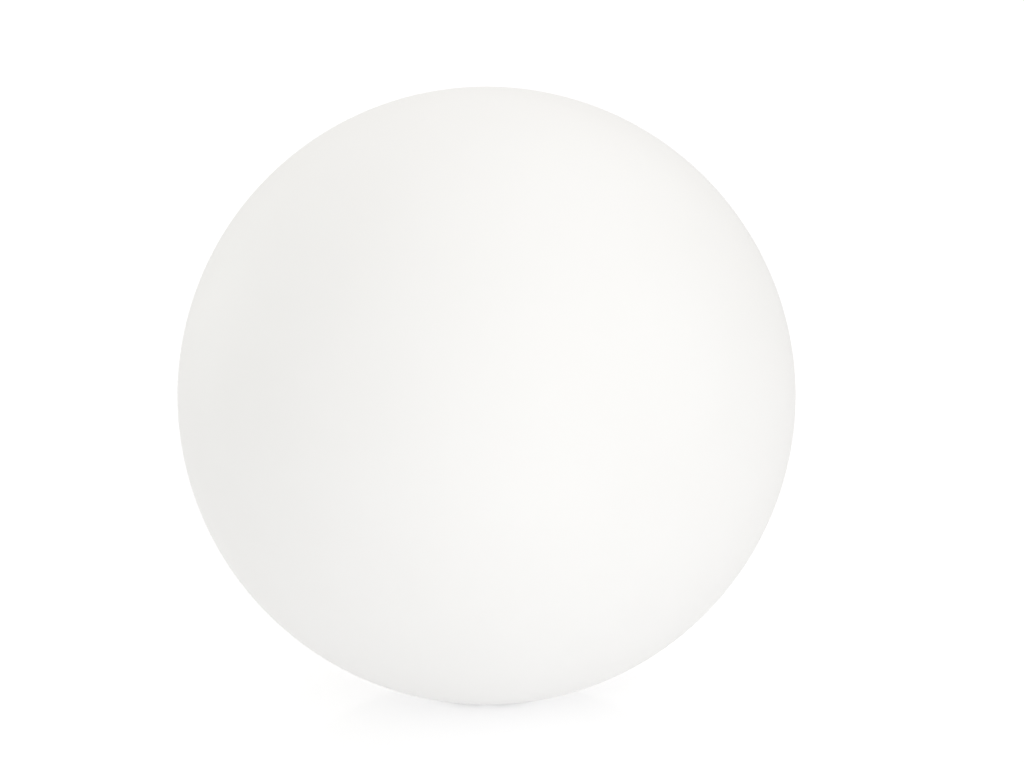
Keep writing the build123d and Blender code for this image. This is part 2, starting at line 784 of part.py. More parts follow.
# Control board, notched to pass the tube's lower bosses
with BuildPart() as control_board:
    with BuildSketch(Plane.XY.offset(board_z)):
        Circle(board_radius)
        with PolarLocations(base_boss_circle, base_screw_count, start_angle=45):
            Circle(base_boss_diameter / 2 + board_boss_gap, mode=Mode.SUBTRACT)
            Rectangle(
                base_boss_diameter,
                base_boss_diameter + 2 * board_boss_gap,
                align=(Align.MIN, Align.CENTER),
                mode=Mode.SUBTRACT,
            )
        with PolarLocations(board_screw_circle, 2, start_angle=90):
            Circle(board_screw_diameter / 2 + screw_hole_room, mode=Mode.SUBTRACT)
    extrude(amount=board_thickness)
write_piece(control_board, "control_board")

# Screws that hold the board to the standoffs
with BuildPart() as board_screws:
    with Locations((0, 0, board_top)):
        with PolarLocations(board_screw_circle, 2, start_angle=90):
            screw(
                board_screw_diameter,
                board_screw_length,
                board_screw_head_diameter,
                board_screw_head_height,
            )
write_piece(board_screws, "board_screws")

# Power coil on the board
with BuildPart() as power_coil:
    with BuildSketch(Plane.XY.offset(board_top)):
        with Locations(coil_place):
            RectangleRounded(coil_width, coil_width, part_edge_round)
    extrude(amount=coil_height)
write_piece(power_coil, "power_coil")

# Capacitor on the board
with BuildPart() as capacitor:
    with BuildSketch(Plane.XY.offset(board_top)):
        with Locations(capacitor_place):
            Circle(capacitor_diameter / 2)
    extrude(amount=board_parts_height)
write_piece(capacitor, "capacitor")

# Charger chip on the board
with BuildPart() as charger_chip:
    with BuildSketch(Plane.XY.offset(board_top)):
        with Locations(chip_place):
            RectangleRounded(chip_width, chip_width, part_edge_round)
    extrude(amount=chip_height)
write_piece(charger_chip, "charger_chip")

# Terminal block on the board
with BuildPart() as lead_terminal:
    with BuildSketch(Plane.XY.offset(board_top)):
        with Locations(terminal_place):
            RectangleRounded(terminal_width, terminal_depth, part_edge_round)
    extrude(amount=terminal_height)
write_piece(lead_terminal, "lead_terminal")

# Lower cradle, standing on the tube's lower bosses
with BuildPart() as lower_cell_holder:
    with BuildSketch(Plane.XY.offset(lower_cradle_z)):
        cradle_outline()
    extrude(amount=cradle_floor + cradle_pocket)
    with BuildSketch(Plane.XY.offset(cell_z)):
        with PolarLocations(cell_circle, cell_count, start_angle=first_cell_angle):
            Circle(cell_radius + cradle_cell_fit)
    extrude(amount=cradle_pocket, mode=Mode.SUBTRACT)
    with BuildSketch(Plane.XY.offset(lower_cradle_z)):
        strap_outline(strap_room)
    extrude(amount=cradle_floor, mode=Mode.SUBTRACT)
write_piece(lower_cell_holder, "lower_cell_holder")

# Upper cradle, held down by its posts under the heat sink
with BuildPart() as upper_cell_holder:
    with BuildSketch(Plane.XY.offset(cell_shoulder - cradle_pocket)):
        cradle_outline()
    extrude(amount=upper_cradle_top - cell_shoulder + cradle_pocket)
    with BuildSketch(Plane.XY.offset(cell_shoulder - cradle_pocket)):
        with PolarLocations(cell_circle, cell_count, start_angle=first_cell_angle):
            Circle(cell_radius + cradle_cell_fit)
    extrude(amount=cradle_pocket, mode=Mode.SUBTRACT)
    with BuildSketch(Plane.XY.offset(cell_shoulder)):
        strap_outline(strap_room)
    extrude(amount=upper_cradle_top - cell_shoulder, mode=Mode.SUBTRACT)
    with BuildSketch(Plane.XY.offset(upper_cradle_top)):
        with PolarLocations(post_circle, cell_count, start_angle=first_cell_angle):
            Circle(cradle_post_diameter / 2)
    extrude(amount=sink_z - upper_cradle_top)
write_piece(upper_cell_holder, "upper_cell_holder")

# Round battery cells with their terminals up
for number, cell_angle in enumerate(cell_angles, start=1):
    with BuildPart() as battery_cell:
        with BuildSketch(Plane(origin=around(cell_circle, cell_angle, cell_z))):
            Circle(cell_radius)
        extrude(amount=cell_shoulder - cell_z)
        fillet(battery_cell.faces().filter_by(Axis.Z).edges(), cell_edge_round)
        with BuildSketch(Plane(origin=around(cell_circle, cell_angle, cell_shoulder))):
            Circle(cell_terminal_diameter / 2)
        extrude(amount=cell_terminal_height)
    write_piece(battery_cell, f"battery_cell_{number}")

# Straps welded under and over the cells
for place, strap_z in (("lower", cell_z - strap_thickness), ("upper", cell_top)):
    with BuildPart() as battery_strap:
        with BuildSketch(Plane.XY.offset(strap_z)):
            strap_outline(0)
        extrude(amount=strap_thickness)
    write_piece(battery_strap, f"{place}_battery_strap")

# Black lead, straight from the board to the lower strap
with BuildPart() as battery_lead_black:
    with BuildSketch(Plane.XY.offset(board_top)):
        Circle(lead_diameter / 2)
    extrude(amount=cell_z - strap_thickness - board_top)
write_piece(battery_lead_black, "battery_lead_black")

# Red lead, from the upper strap over the cradle's notch and down to the board
upper_strap_top = cell_top + strap_thickness
arch_z = upper_strap_top + lead_arch
with BuildPart() as battery_lead_red:
    with BuildLine() as red_path:
        FilletPolyline(
            (0, 0, upper_strap_top),
            (0, 0, arch_z),
            around(lead_circle, red_lead_angle, arch_z),
            around(lead_circle, red_lead_angle, board_top),
            radius=lead_bend,
        )
    with BuildSketch(Plane.XY.offset(upper_strap_top)):
        Circle(lead_diameter / 2)
    sweep(path=red_path.wires()[0])
write_piece(battery_lead_red, "battery_lead_red")

# Two lamp leads, from the board up through the notch and the heat sink
lead_step = degrees(lead_spacing / lead_circle)
wire_step = degrees(lead_spacing / led_wire_circle)
lamp_turn_z = sink_z - lead_bend
lamp_ease_z = lamp_turn_z - 2 * lead_bend
for place, side in (("left", -0.5), ("right", 0.5)):
    lower_angle = lamp_lead_angle + side * lead_step
    upper_angle = lamp_lead_angle + side * wire_step
    with BuildPart() as lamp_lead:
        with BuildLine() as lamp_path:
            FilletPolyline(
                around(lead_circle, lower_angle, board_top),
                around(lead_circle, lower_angle, lamp_ease_z),
                around(led_wire_circle, upper_angle, lamp_turn_z),
                around(led_wire_circle, upper_angle, led_board_top),
                radius=lead_bend,
            )
        with BuildSketch(Plane(origin=around(lead_circle, lower_angle, board_top))):
            Circle(lead_diameter / 2)
        sweep(path=lamp_path.wires()[0])
    write_piece(lamp_lead, f"{place}_lamp_lead")

# Heat sink disc on top of the tube
lead_hole_width = lead_spacing + lead_diameter + 2 * lead_hole_room
lead_hole_depth = lead_diameter + 2 * lead_hole_room


def lamp_lead_hole():
    """Sketch the slot that the two lamp leads pass through."""
    with PolarLocations(led_wire_circle, 1, start_angle=lamp_lead_angle):
        SlotOverall(lead_hole_width, lead_hole_depth, rotation=90, mode=Mode.SUBTRACT)


def lamp_screw_holes(room):
    """Sketch the holes for the lamp board's screws, with some room round the shank."""
    with PolarLocations(led_screw_circle, 2, start_angle=led_screw_start):
        Circle(led_screw_diameter / 2 + room, mode=Mode.SUBTRACT)


def lens_screw_holes():
    """Sketch the holes for the dome's screws."""
    with PolarLocations(lens_boss_circle, cell_count, start_angle=gap_angles[0]):
        Circle(screw_diameter / 2 + screw_hole_room, mode=Mode.SUBTRACT)


with BuildPart() as heat_sink:
    with BuildSketch(Plane.XY.offset(sink_z)):
        Circle(tower_radius)
        lens_screw_holes()
        lamp_screw_holes(pilot_room)
        lamp_lead_hole()
    extrude(amount=sink_thickness)
write_piece(heat_sink, "heat_sink")

# Thermal pad under the lamp board
with BuildPart() as thermal_pad:
    with BuildSketch(Plane.XY.offset(sink_top)):
        Circle(led_board_radius)
        lamp_screw_holes(screw_hole_room)
        lamp_lead_hole()
    extrude(amount=pad_thickness)
write_piece(thermal_pad, "thermal_pad")

# Metal-core lamp board
with BuildPart() as led_board:
    with BuildSketch(Plane.XY.offset(led_board_z)):
        Circle(led_board_radius)
        lamp_screw_holes(screw_hole_room)
        lamp_lead_hole()
    extrude(amount=led_board_thickness)
write_piece(led_board, "led_board")

# Lamp chips: a ring and a centre group
with BuildPart() as leds:
    with BuildSketch(Plane.XY.offset(led_board_top)):
        with PolarLocations(led_ring_circle, led_ring_count, start_angle=led_ring_start):
            Rectangle(led_width, led_width)
        with PolarLocations(led_centre_radius, led_centre_count, start_angle=lamp_lead_angle):
            Rectangle(led_width, led_width)
    extrude(amount=led_height)
write_piece(leds, "leds")

# Screws of the lamp board
with BuildPart() as led_screws:
    with Locations((0, 0, led_board_top)):
        with PolarLocations(led_screw_circle, 2, start_angle=led_screw_start):
            screw(led_screw_diameter, led_screw_length, led_screw_head_diameter, led_screw_head_height)
write_piece(led_screws, "led_screws")

# Ring seal between heat sink and dome
with BuildPart() as dome_gasket:
    with BuildSketch(Plane.XY.offset(sink_top)):
        Circle(tower_radius)
        Circle(tower_radius - dome_gasket_width - screw_diameter / 2, mode=Mode.SUBTRACT)
        lens_screw_holes()
    extrude(amount=dome_gasket_thickness)
write_piece(dome_gasket, "dome_gasket")

# Opal dome over the lamps: a flange and a hollow half ball
dome_bore = dome_radius - dome_wall
with BuildPart() as dome_lens:
    with BuildSketch(Plane.XZ):
        with BuildLine():
            CenterArc((0, dome_z), dome_radius, 0, 90)
            Line((0, dome_z + dome_radius), (0, dome_z + dome_bore))
            CenterArc((0, dome_z), dome_bore, 0, 90)
            Polyline(
                (dome_bore, dome_z),
                (dome_bore, flange_z),
                (tower_radius, flange_z),
                (tower_radius, dome_z),
                (dome_radius, dome_z),
            )
        make_face()
    revolve(axis=Axis.Z)
    fillet(ring_edge(dome_lens, tower_radius, dome_z), dome_foot_round)
    with Locations((0, 0, dome_z)):
        with PolarLocations(lens_boss_circle, cell_count, start_angle=gap_angles[0]):
            Hole(screw_diameter / 2 + screw_hole_room, dome_flange)
write_piece(dome_lens, "dome_lens")

# Screws through dome, seal and heat sink into the tube
with BuildPart() as lens_screws:
    with Locations((0, 0, dome_z)):
        with PolarLocations(lens_boss_circle, cell_count, start_angle=gap_angles[0]):
            screw(screw_diameter, lens_screw_length, screw_head_diameter, screw_head_height)
    fillet(lens_screws.faces().filter_by(Axis.Z).group_by(Axis.Z)[-1].edges(), screw_head_round)
    with BuildSketch(Plane.XY.offset(dome_z + screw_head_height)):
        with PolarLocations(lens_boss_circle, cell_count, start_angle=gap_angles[0]):
            RegularPolygon(drive_recess_width / 2, 6)
    extrude(amount=-drive_recess_depth, mode=Mode.SUBTRACT)
write_piece(lens_screws, "lens_screws")
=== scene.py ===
"""Looks of a cordless garden globe light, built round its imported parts.

A class dresses each sub-assembly: the globe, the base under it, the light tower, the lamp head, the power
button and the charge port. A studio class holds the floor, the light and the camera. Sizes are in metres, in
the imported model's frame: the floor is z = 0, Z is the globe's axis and -Y faces the camera.
"""

import logging
import math
from dataclasses import dataclass, field
from enum import Enum
from typing import Any

import bmesh
import bpy
from mathutils import Matrix, Vector


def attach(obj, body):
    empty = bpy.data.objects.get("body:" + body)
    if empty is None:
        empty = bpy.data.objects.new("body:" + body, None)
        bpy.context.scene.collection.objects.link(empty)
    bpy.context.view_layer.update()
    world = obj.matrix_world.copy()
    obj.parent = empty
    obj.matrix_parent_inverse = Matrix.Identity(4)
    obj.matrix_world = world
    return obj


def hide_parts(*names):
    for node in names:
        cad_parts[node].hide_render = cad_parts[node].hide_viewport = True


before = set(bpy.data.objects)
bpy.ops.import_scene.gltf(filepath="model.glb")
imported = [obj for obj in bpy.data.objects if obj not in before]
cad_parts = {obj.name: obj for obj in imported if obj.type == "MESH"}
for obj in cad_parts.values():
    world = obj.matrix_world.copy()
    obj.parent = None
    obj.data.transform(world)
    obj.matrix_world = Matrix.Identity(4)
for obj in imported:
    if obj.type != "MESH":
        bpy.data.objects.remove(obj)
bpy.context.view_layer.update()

FRAME_WIDTH = 1024  # pixels
SENSOR_WIDTH = 36.0  # millimetres
SEAM = 1e-6  # points nearer than this are one point
CREASE = math.radians(32)  # sharper edges stay crisp
QUARTER = math.pi / 2
NOISE_SPAN = (0.3, 0.7)  # where most of the noise lies
WAVE_TURN = 20.0  # radians that a wave pattern turns in a metre at a scale of one
ROUND_STEPS = 2  # faces across a block's rounded edge
BEND_STEPS = 8  # points in a strip's bend
STRIP_EDGE_STEPS = 3  # points in the round of a strip's edge

log = logging.getLogger("globe_light")

Colour = tuple[float, float, float]
Span = tuple[float, float]
Point = tuple[float, float, float]
Profile = list[tuple[float, float]]
Socket = bpy.types.NodeSocket
Mesh = bpy.types.Mesh
Piece = bpy.types.Object


class Body(Enum):
    """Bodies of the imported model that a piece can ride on."""

    BASE = "base"
    GLOBE = "globe"
    BUTTON = "power_button"
    DOOR = "port_door"


class Input(Enum):
    """Kinds of input that a Geometry Nodes tree takes."""

    COUNT = "NodeSocketInt"
    NUMBER = "NodeSocketFloat"
    PLACE = "NodeSocketVector"
    FINISH = "NodeSocketMaterial"


class Brush(Enum):
    """Way that a metal's tool marks run, as how far its noise is drawn out along x, y and z."""

    UPRIGHT = (1.0, 1.0, 0.02)
    LEVEL = (0.05, 0.05, 1.0)
    NONE = (1.0, 1.0, 1.0)


# Node sheets: short calls for building a material or a Geometry Nodes tree


class NodeSheet:
    """A node tree with short calls for adding nodes to it."""

    def __init__(self, tree: bpy.types.NodeTree) -> None:
        """Keep the tree that nodes are added to."""
        self.tree = tree

    def fill(self, socket: Socket, value: Any) -> None:
        """Link an input or set its own value.

        Args:
            socket: the input.
            value: a socket to link from, or a value.
        """
        if isinstance(value, Socket):
            self.tree.links.new(value, socket)
        else:
            socket.default_value = value

    def node(self, kind: str, inputs: dict[str | int, Any] | None = None, **settings: Any) -> bpy.types.Node:
        """Add one node.

        Args:
            kind: Blender's name for the node's type.
            inputs: a socket to link from, or a value, for each input by its name or number.
            settings: the node's own properties, set before its inputs.

        Returns:
            The new node.
        """
        made = self.tree.nodes.new(kind)
        for name, value in settings.items():
            setattr(made, name, value)
        for name, value in (inputs or {}).items():
            self.fill(made.inputs[name], value)
        return made

    def sum(self, operation: str, first: Any, second: Any = 0.0) -> Socket:
        """Add a Math node on two sockets or numbers, and return its result."""
        return self.node("ShaderNodeMath", {0: first, 1: second}, operation=operation).outputs[0]


class Tree(NodeSheet):
    """A Geometry Nodes tree with named inputs."""

    def __init__(self, name: str) -> None:
        """Start an empty tree that takes and gives geometry.

        Args:
            name: name of the tree.
        """
        super().__init__(bpy.data.node_groups.new(name, "GeometryNodeTree"))
        for way in ("INPUT", "OUTPUT"):
            self.tree.interface.new_socket("Geometry", in_out=way, socket_type="NodeSocketGeometry")
        self.entry = self.node("NodeGroupInput")
        self.shape = self.entry.outputs["Geometry"]

    def input(self, name: str, kind: Input) -> Socket:
        """Add a named input and return the socket that carries it."""
        self.tree.interface.new_socket(name, in_out="INPUT", socket_type=kind.value)
        return self.entry.outputs[name]

    def close(self, shape: Socket, finish: Socket) -> None:
        """End the tree: instances become mesh, and the mesh gets its finish.

        Args:
            shape: the geometry that the tree has made.
            finish: the material input.
        """
        real = self.node("GeometryNodeRealizeInstances", {"Geometry": shape}).outputs["Geometry"]
        soft = self.node("GeometryNodeSetShadeSmooth", {"Geometry": real}).outputs["Geometry"]
        dressed = self.node("GeometryNodeSetMaterial", {"Geometry": soft, "Material": finish})
        self.node("NodeGroupOutput", {"Geometry": dressed.outputs["Geometry"]})

    def run(self, piece: Piece, **values: Any) -> None:
        """Put the tree on a piece and turn the result into a plain mesh.

        Args:
            piece: object whose mesh goes into the tree.
            values: a value for each named input, with spaces as underscores.
        """
        modifier = piece.modifiers.new(self.tree.name, "NODES")
        modifier.node_group = self.tree
        for item in self.tree.interface.items_tree:
            key = item.name.lower().replace(" ", "_")
            if item.in_out == "INPUT" and key in values:
                modifier[item.identifier] = values[key]
        settle(piece)


class Paint(NodeSheet):
    """The nodes of one material, with short calls that the finishes share."""

    def __init__(self, name: str) -> None:
        """Start a material with one principled shader, read in object coordinates.

        Args:
            name: name of the material.
        """
        self.material = bpy.data.materials.new(name)
        self.material.use_nodes = True
        super().__init__(self.material.node_tree)
        self.shader = self.tree.nodes["Principled BSDF"]
        self.place = self.node("ShaderNodeTexCoord").outputs["Object"]

    def set(self, **values: Any) -> None:
        """Set or link the shader's inputs, named with underscores for spaces."""
        for name, value in values.items():
            self.fill(self.shader.inputs[name.replace("_", " ")], value)

    def cloud(self, size: float, detail: float = 2.0, drawn: Brush = Brush.NONE) -> Socket:
        """Add soft noise.

        Args:
            size: how far apart its lumps are, in metres.
            detail: how many finer layers it has.
            drawn: which way its lumps are drawn out.

        Returns:
            The noise, mostly within its usual span.
        """
        turned = self.node("ShaderNodeMapping", {"Vector": self.place, "Scale": drawn.value})
        lumps = {"Vector": turned.outputs["Vector"], "Scale": 1 / size, "Detail": detail}
        return self.node("ShaderNodeTexNoise", lumps).outputs["Fac"]

    def spread(self, share: Socket, low: float, high: float) -> Socket:
        """Spread noise over a range of numbers.

        Args:
            share: the noise.
            low: the number at its low end.
            high: the number at its high end.

        Returns:
            The number.
        """
        start, end = NOISE_SPAN
        limits = {"Value": share, "From Min": start, "From Max": end, "To Min": low, "To Max": high}
        return self.node("ShaderNodeMapRange", limits).outputs["Result"]

    def blend(self, share: Socket, low: Colour, high: Colour) -> Socket:
        """Blend two colours by noise.

        Args:
            share: the noise.
            low: the colour at its low end.
            high: the colour at its high end.

        Returns:
            The blended colour.
        """
        ramp = self.node("ShaderNodeValToRGB", {"Fac": share})
        for element, place, colour in zip(ramp.color_ramp.elements, NOISE_SPAN, (low, high)):
            element.position = place
            element.color = (*colour, 1.0)
        return ramp.outputs["Color"]

    def relief(self, *layers: tuple[Socket, float]) -> None:
        """Raise the surface by layers of noise.

        Args:
            layers: each layer's noise and its depth in metres.
        """
        below: Socket | None = None
        for height, depth in layers:
            inputs: dict[str | int, Any] = {"Height": height, "Distance": depth, "Strength": 1.0}
            if below is not None:
                inputs["Normal"] = below
            below = self.node("ShaderNodeBump", inputs).outputs["Normal"]
        if below is not None:
            self.set(Normal=below)


# Finishes


@dataclass(frozen=True)
class Finish:
    """A finish that drifts between two tones, with one material for all the pieces that have it."""

    name: str
    low: Colour
    high: Colour
    roughness: Span

    def material(self) -> bpy.types.Material:
        """Give the finish's material, made at its first use.

        Returns:
            The material.
        """
        found = bpy.data.materials.get(self.name)
        if found is None:
            paint = Paint(self.name)
            self.apply(paint)
            found = paint.material
        return found

    def lay(self, paint: Paint, tone: Socket, gloss: Socket) -> None:
        """Blend the finish's colours by one noise, and spread its roughness by another."""
        paint.set(Base_Color=paint.blend(tone, self.low, self.high))
        paint.set(Roughness=paint.spread(gloss, *self.roughness))

    def apply(self, paint: Paint) -> None:
        """Add the finish's nodes to a new material."""
        raise NotImplementedError


@dataclass(frozen=True)
class OpalPlastic(Finish):
    """Satin moulded plastic with a slow drift of tone and a fine orange peel."""

    drift: float = 0.11
    peel: float = 0.0045
    peel_depth: float = 0.000018
    grain: float = 0.0011
    grain_depth: float = 0.000006
    index: float = 1.5

    def apply(self, paint: Paint) -> None:
        """Add the drift of tone, the satin and the orange peel.

        Args:
            paint: the new material's nodes.
        """
        self.lay(paint, paint.cloud(self.drift, detail=3.0), paint.cloud(self.drift / 3))
        paint.set(IOR=self.index)
        paint.relief((paint.cloud(self.peel), self.peel_depth), (paint.cloud(self.grain), self.grain_depth))


@dataclass(frozen=True)
class MouldedPlastic(Finish):
    """Moulded plastic with the fine spark texture of its mould."""

    drift: float = 0.03
    texture: float = 0.0005
    texture_depth: float = 0.00003

    def apply(self, paint: Paint) -> None:
        """Add the tone, its faint drift and the mould's texture.

        Args:
            paint: the new material's nodes.
        """
        self.lay(paint, paint.cloud(self.drift, detail=3.0), paint.cloud(self.drift / 4))
        pits = paint.node("ShaderNodeTexVoronoi", {"Vector": paint.place, "Scale": 1 / self.texture})
        sunk = (paint.cloud(self.drift / 2), 2 * self.texture_depth)
        paint.relief(sunk, (pits.outputs["Distance"], self.texture_depth))


@dataclass(frozen=True)
class SoftRubber(Finish):
    """Matt rubber or silicone with a trace of dust."""

    dust: Colour
    mottle: float = 0.006
    speck: float = 0.0012
    speck_from: float = 0.6  # noise above this is dust
    speck_cover: float = 0.5  # how much of the rubber a speck hides
    wear: float = 0.003
    matt: float = 0.0008
    matt_depth: float = 0.00003

    def apply(self, paint: Paint) -> None:
        """Add the tone, specks of dust and a fine matt relief.

        Args:
            paint: the new material's nodes.
        """
        tone = paint.blend(paint.cloud(self.mottle, detail=4.0), self.low, self.high)
        limits = {"From Min": self.speck_from, "To Max": self.speck_cover}
        limits["Value"] = paint.cloud(self.speck, detail=4.0)
        specks = paint.node("ShaderNodeMapRange", limits).outputs["Result"]
        # Inputs 6 and 7 and output 2 are the node's colours.
        dusty = paint.node("ShaderNodeMix", {0: specks, 6: tone, 7: (*self.dust, 1.0)}, data_type="RGBA")
        paint.set(Base_Color=dusty.outputs[2])
        paint.set(Roughness=paint.spread(paint.cloud(self.wear), *self.roughness))
        paint.relief((paint.cloud(self.matt, detail=3.0), self.matt_depth))


@dataclass(frozen=True)
class BareMetal(Finish):
    """Bare metal with tool marks drawn one way."""

    brush: Brush = Brush.NONE
    marks: float = 0.00025
    marks_depth: float = 0.000004
    tarnish: float = 0.004

    def apply(self, paint: Paint) -> None:
        """Add the metal, its tool marks and a soft tarnish.

        Args:
            paint: the new material's nodes.
        """
        lines = paint.cloud(self.marks, detail=3.0, drawn=self.brush)
        self.lay(paint, paint.cloud(self.tarnish, detail=4.0), lines)
        paint.set(Metallic=1.0)
        paint.relief((lines, self.marks_depth))


@dataclass(frozen=True)
class TurnedMetal(Finish):
    """Metal turned on a lathe, with fine lines round its wall and wide rings on its faces."""

    pitch: float = 0.0005
    waver: float = 0.4
    ring_depth: float = 0.000008
    tarnish: float = 0.005

    def apply(self, paint: Paint) -> None:
        """Add the metal and the lathe's rings.

        Args:
            paint: the new material's nodes.
        """
        scale = math.tau / (WAVE_TURN * self.pitch)
        rings = paint.node(
            "ShaderNodeTexWave",
            {"Vector": paint.place, "Scale": scale, "Distortion": self.waver, "Detail": 2.0},
            wave_type="RINGS",
            rings_direction="SPHERICAL",
        ).outputs["Fac"]
        self.lay(paint, paint.cloud(self.tarnish, detail=3.0), rings)
        paint.set(Metallic=1.0)
        paint.relief((rings, self.ring_depth))


@dataclass(frozen=True)
class PrintedBoard(Finish):
    """Circuit board in a coat of the low tone, with copper tracks of the high tone under it."""

    pitch: float = 0.0022
    track: float = 0.03
    track_blur: float = 0.4
    track_depth: float = 0.00002
    wear: float = 0.004

    def apply(self, paint: Paint) -> None:
        """Add the coat, and the tracks that show through it.

        Args:
            paint: the new material's nodes.
        """
        grid = {"Scale": 1 / self.pitch, "Mortar Size": self.track, "Mortar Smooth": self.track_blur}
        grid["Vector"] = paint.place
        tracks = paint.node("ShaderNodeTexBrick", grid, offset=0.5).outputs["Fac"]
        self.lay(paint, tracks, paint.cloud(self.wear))
        paint.relief((tracks, self.track_depth))


@dataclass(frozen=True)
class ClearPlastic(Finish):
    """Clear moulded plastic with a faint haze."""

    index: float = 1.49
    haze: float = 0.002
    wear: float = 0.001

    def apply(self, paint: Paint) -> None:
        """Add the clear body and its haze."""
        paint.set(Transmission_Weight=1.0, IOR=self.index)
        self.lay(paint, paint.cloud(self.haze), paint.cloud(self.wear, detail=3.0))


GLOBE_OPAL = OpalPlastic(
    "globe_opal_finish",
    low=(0.923, 0.918, 0.904),
    high=(0.937, 0.933, 0.921),
    roughness=(0.55, 0.61),
)
DOME_OPAL = OpalPlastic(
    "dome_opal_finish",
    low=(0.86, 0.865, 0.86),
    high=(0.90, 0.90, 0.895),
    roughness=(0.30, 0.38),
    drift=0.02,
    peel=0.002,
    grain=0.0006,
)
BASE_WHITE = MouldedPlastic("base_white_finish", (0.74, 0.74, 0.72), (0.80, 0.80, 0.785), (0.42, 0.52))
TOWER_WHITE = MouldedPlastic("tower_white_finish", (0.78, 0.78, 0.77), (0.83, 0.83, 0.82), (0.34, 0.44))
BUTTON_GREY = MouldedPlastic("button_grey_finish", (0.30, 0.31, 0.32), (0.36, 0.37, 0.38), (0.40, 0.52))
MARK_WHITE = MouldedPlastic("button_mark_finish", (0.80, 0.80, 0.80), (0.86, 0.86, 0.86), (0.35, 0.45), 0.002)
BLACK_PLASTIC = MouldedPlastic(
    "black_plastic_finish", (0.018, 0.018, 0.019), (0.032, 0.032, 0.034), (0.38, 0.55)
)
TERMINAL_GREEN = MouldedPlastic("terminal_green_finish", (0.03, 0.22, 0.10), (0.05, 0.29, 0.14), (0.38, 0.48))
CELL_SLEEVE = MouldedPlastic("cell_sleeve_finish", (0.02, 0.12, 0.30), (0.03, 0.17, 0.38), (0.22, 0.34))
LEAD_RED = MouldedPlastic("lead_red_finish", (0.42, 0.015, 0.012), (0.52, 0.03, 0.02), (0.36, 0.48))
LEAD_BLACK = MouldedPlastic("lead_black_finish", (0.012, 0.012, 0.013), (0.026, 0.026, 0.028), (0.36, 0.48))
LAMP_CHIP = MouldedPlastic("lamp_chip_finish", (0.80, 0.62, 0.16), (0.88, 0.74, 0.26), (0.30, 0.42), 0.002)
LAMP_BOARD = PrintedBoard("lamp_board_finish", (0.80, 0.80, 0.78), (0.70, 0.71, 0.70), (0.22, 0.36))
BOARD_GREEN = PrintedBoard("board_green_finish", (0.012, 0.115, 0.045), (0.03, 0.19, 0.075), (0.22, 0.36))
# The foot rubber is painted paler than its own dark grey: painted light that lifts the shade in the gap under
# the globe.
FOOT_RUBBER_PAINTED_PALE = SoftRubber(
    "foot_rubber_finish", (0.26, 0.26, 0.258), (0.33, 0.33, 0.326), (0.6, 0.8), dust=(0.46, 0.45, 0.43)
)
SEAL_SILICONE = SoftRubber(
    "seal_silicone_finish", (0.30, 0.31, 0.31), (0.37, 0.38, 0.38), (0.5, 0.65), dust=(0.5, 0.49, 0.47)
)
THERMAL_GREY = SoftRubber(
    "thermal_grey_finish", (0.36, 0.38, 0.42), (0.43, 0.45, 0.49), (0.6, 0.8), dust=(0.55, 0.55, 0.55)
)
SCREW_STEEL = BareMetal("screw_steel_finish", (0.52, 0.52, 0.51), (0.62, 0.615, 0.60), (0.24, 0.40))
SPRING_STEEL = BareMetal(
    "spring_steel_finish", (0.55, 0.55, 0.55), (0.66, 0.66, 0.65), (0.22, 0.42), Brush.UPRIGHT
)
STRAP_NICKEL = BareMetal(
    "strap_nickel_finish", (0.58, 0.56, 0.52), (0.68, 0.66, 0.61), (0.25, 0.40), Brush.LEVEL
)
SINK_METAL = TurnedMetal("sink_metal_finish", (0.62, 0.625, 0.63), (0.72, 0.725, 0.73), (0.28, 0.42))
PIPE_CLEAR = ClearPlastic("pipe_clear_finish", (0.93, 0.95, 0.94), (0.97, 0.98, 0.975), (0.05, 0.25))


# Mesh making


def new_piece(name: str, mesh: Mesh) -> Piece:
    """Put a mesh into the scene as a new object at the origin.

    Args:
        name: name of the object.
        mesh: its mesh.

    Returns:
        The object.
    """
    piece = bpy.data.objects.new(name, mesh)
    bpy.context.scene.collection.objects.link(piece)
    return piece


def profile_mesh(name: str, profile: Profile) -> Mesh:
    """Make a chain of points and edges from a profile.

    Args:
        name: name of the mesh.
        profile: points as distance from the axis and height.

    Returns:
        The mesh, in the XZ plane.
    """
    mesh = bpy.data.meshes.new(name)
    links = [(step, step + 1) for step in range(len(profile) - 1)]
    mesh.from_pydata([(out, 0.0, up) for out, up in profile], links, [])
    return mesh


def polar(radius: float, turn: float) -> tuple[float, float]:
    """Give the point at a distance and an angle from zero."""
    return (radius * math.cos(turn), radius * math.sin(turn))


def arc(centre: tuple[float, float], radius: float, first: float, last: float, steps: int) -> Profile:
    """Give the points of an arc, both ends included.

    Args:
        centre: its centre as distance from the axis and height.
        radius: its radius.
        first: angle in radians where it starts, from the level outward way.
        last: angle where it ends.
        steps: number of runs between points.

    Returns:
        The points in order.
    """
    points = [polar(radius, first + (last - first) * step / steps) for step in range(steps + 1)]
    return [(centre[0] + out, centre[1] + up) for out, up in points]


def across(width: float) -> Span:
    """Give the span of a width about zero."""
    return (-width / 2, width / 2)


def settle(piece: Piece) -> None:
    """Turn a piece's modifiers into a plain closed mesh with outward faces and crisp edges.

    Args:
        piece: the piece.
    """
    bpy.context.view_layer.update()
    graph = bpy.context.evaluated_depsgraph_get()
    mesh = bpy.data.meshes.new_from_object(piece.evaluated_get(graph), depsgraph=graph)
    piece.modifiers.clear()
    piece.data = mesh
    shape = bmesh.new()
    shape.from_mesh(mesh)
    bmesh.ops.remove_doubles(shape, verts=shape.verts, dist=SEAM)
    bmesh.ops.dissolve_degenerate(shape, edges=shape.edges, dist=SEAM)
    bmesh.ops.recalc_face_normals(shape, faces=shape.faces)
    shape.to_mesh(mesh)
    shape.free()
    mesh.set_sharp_from_angle(angle=CREASE)


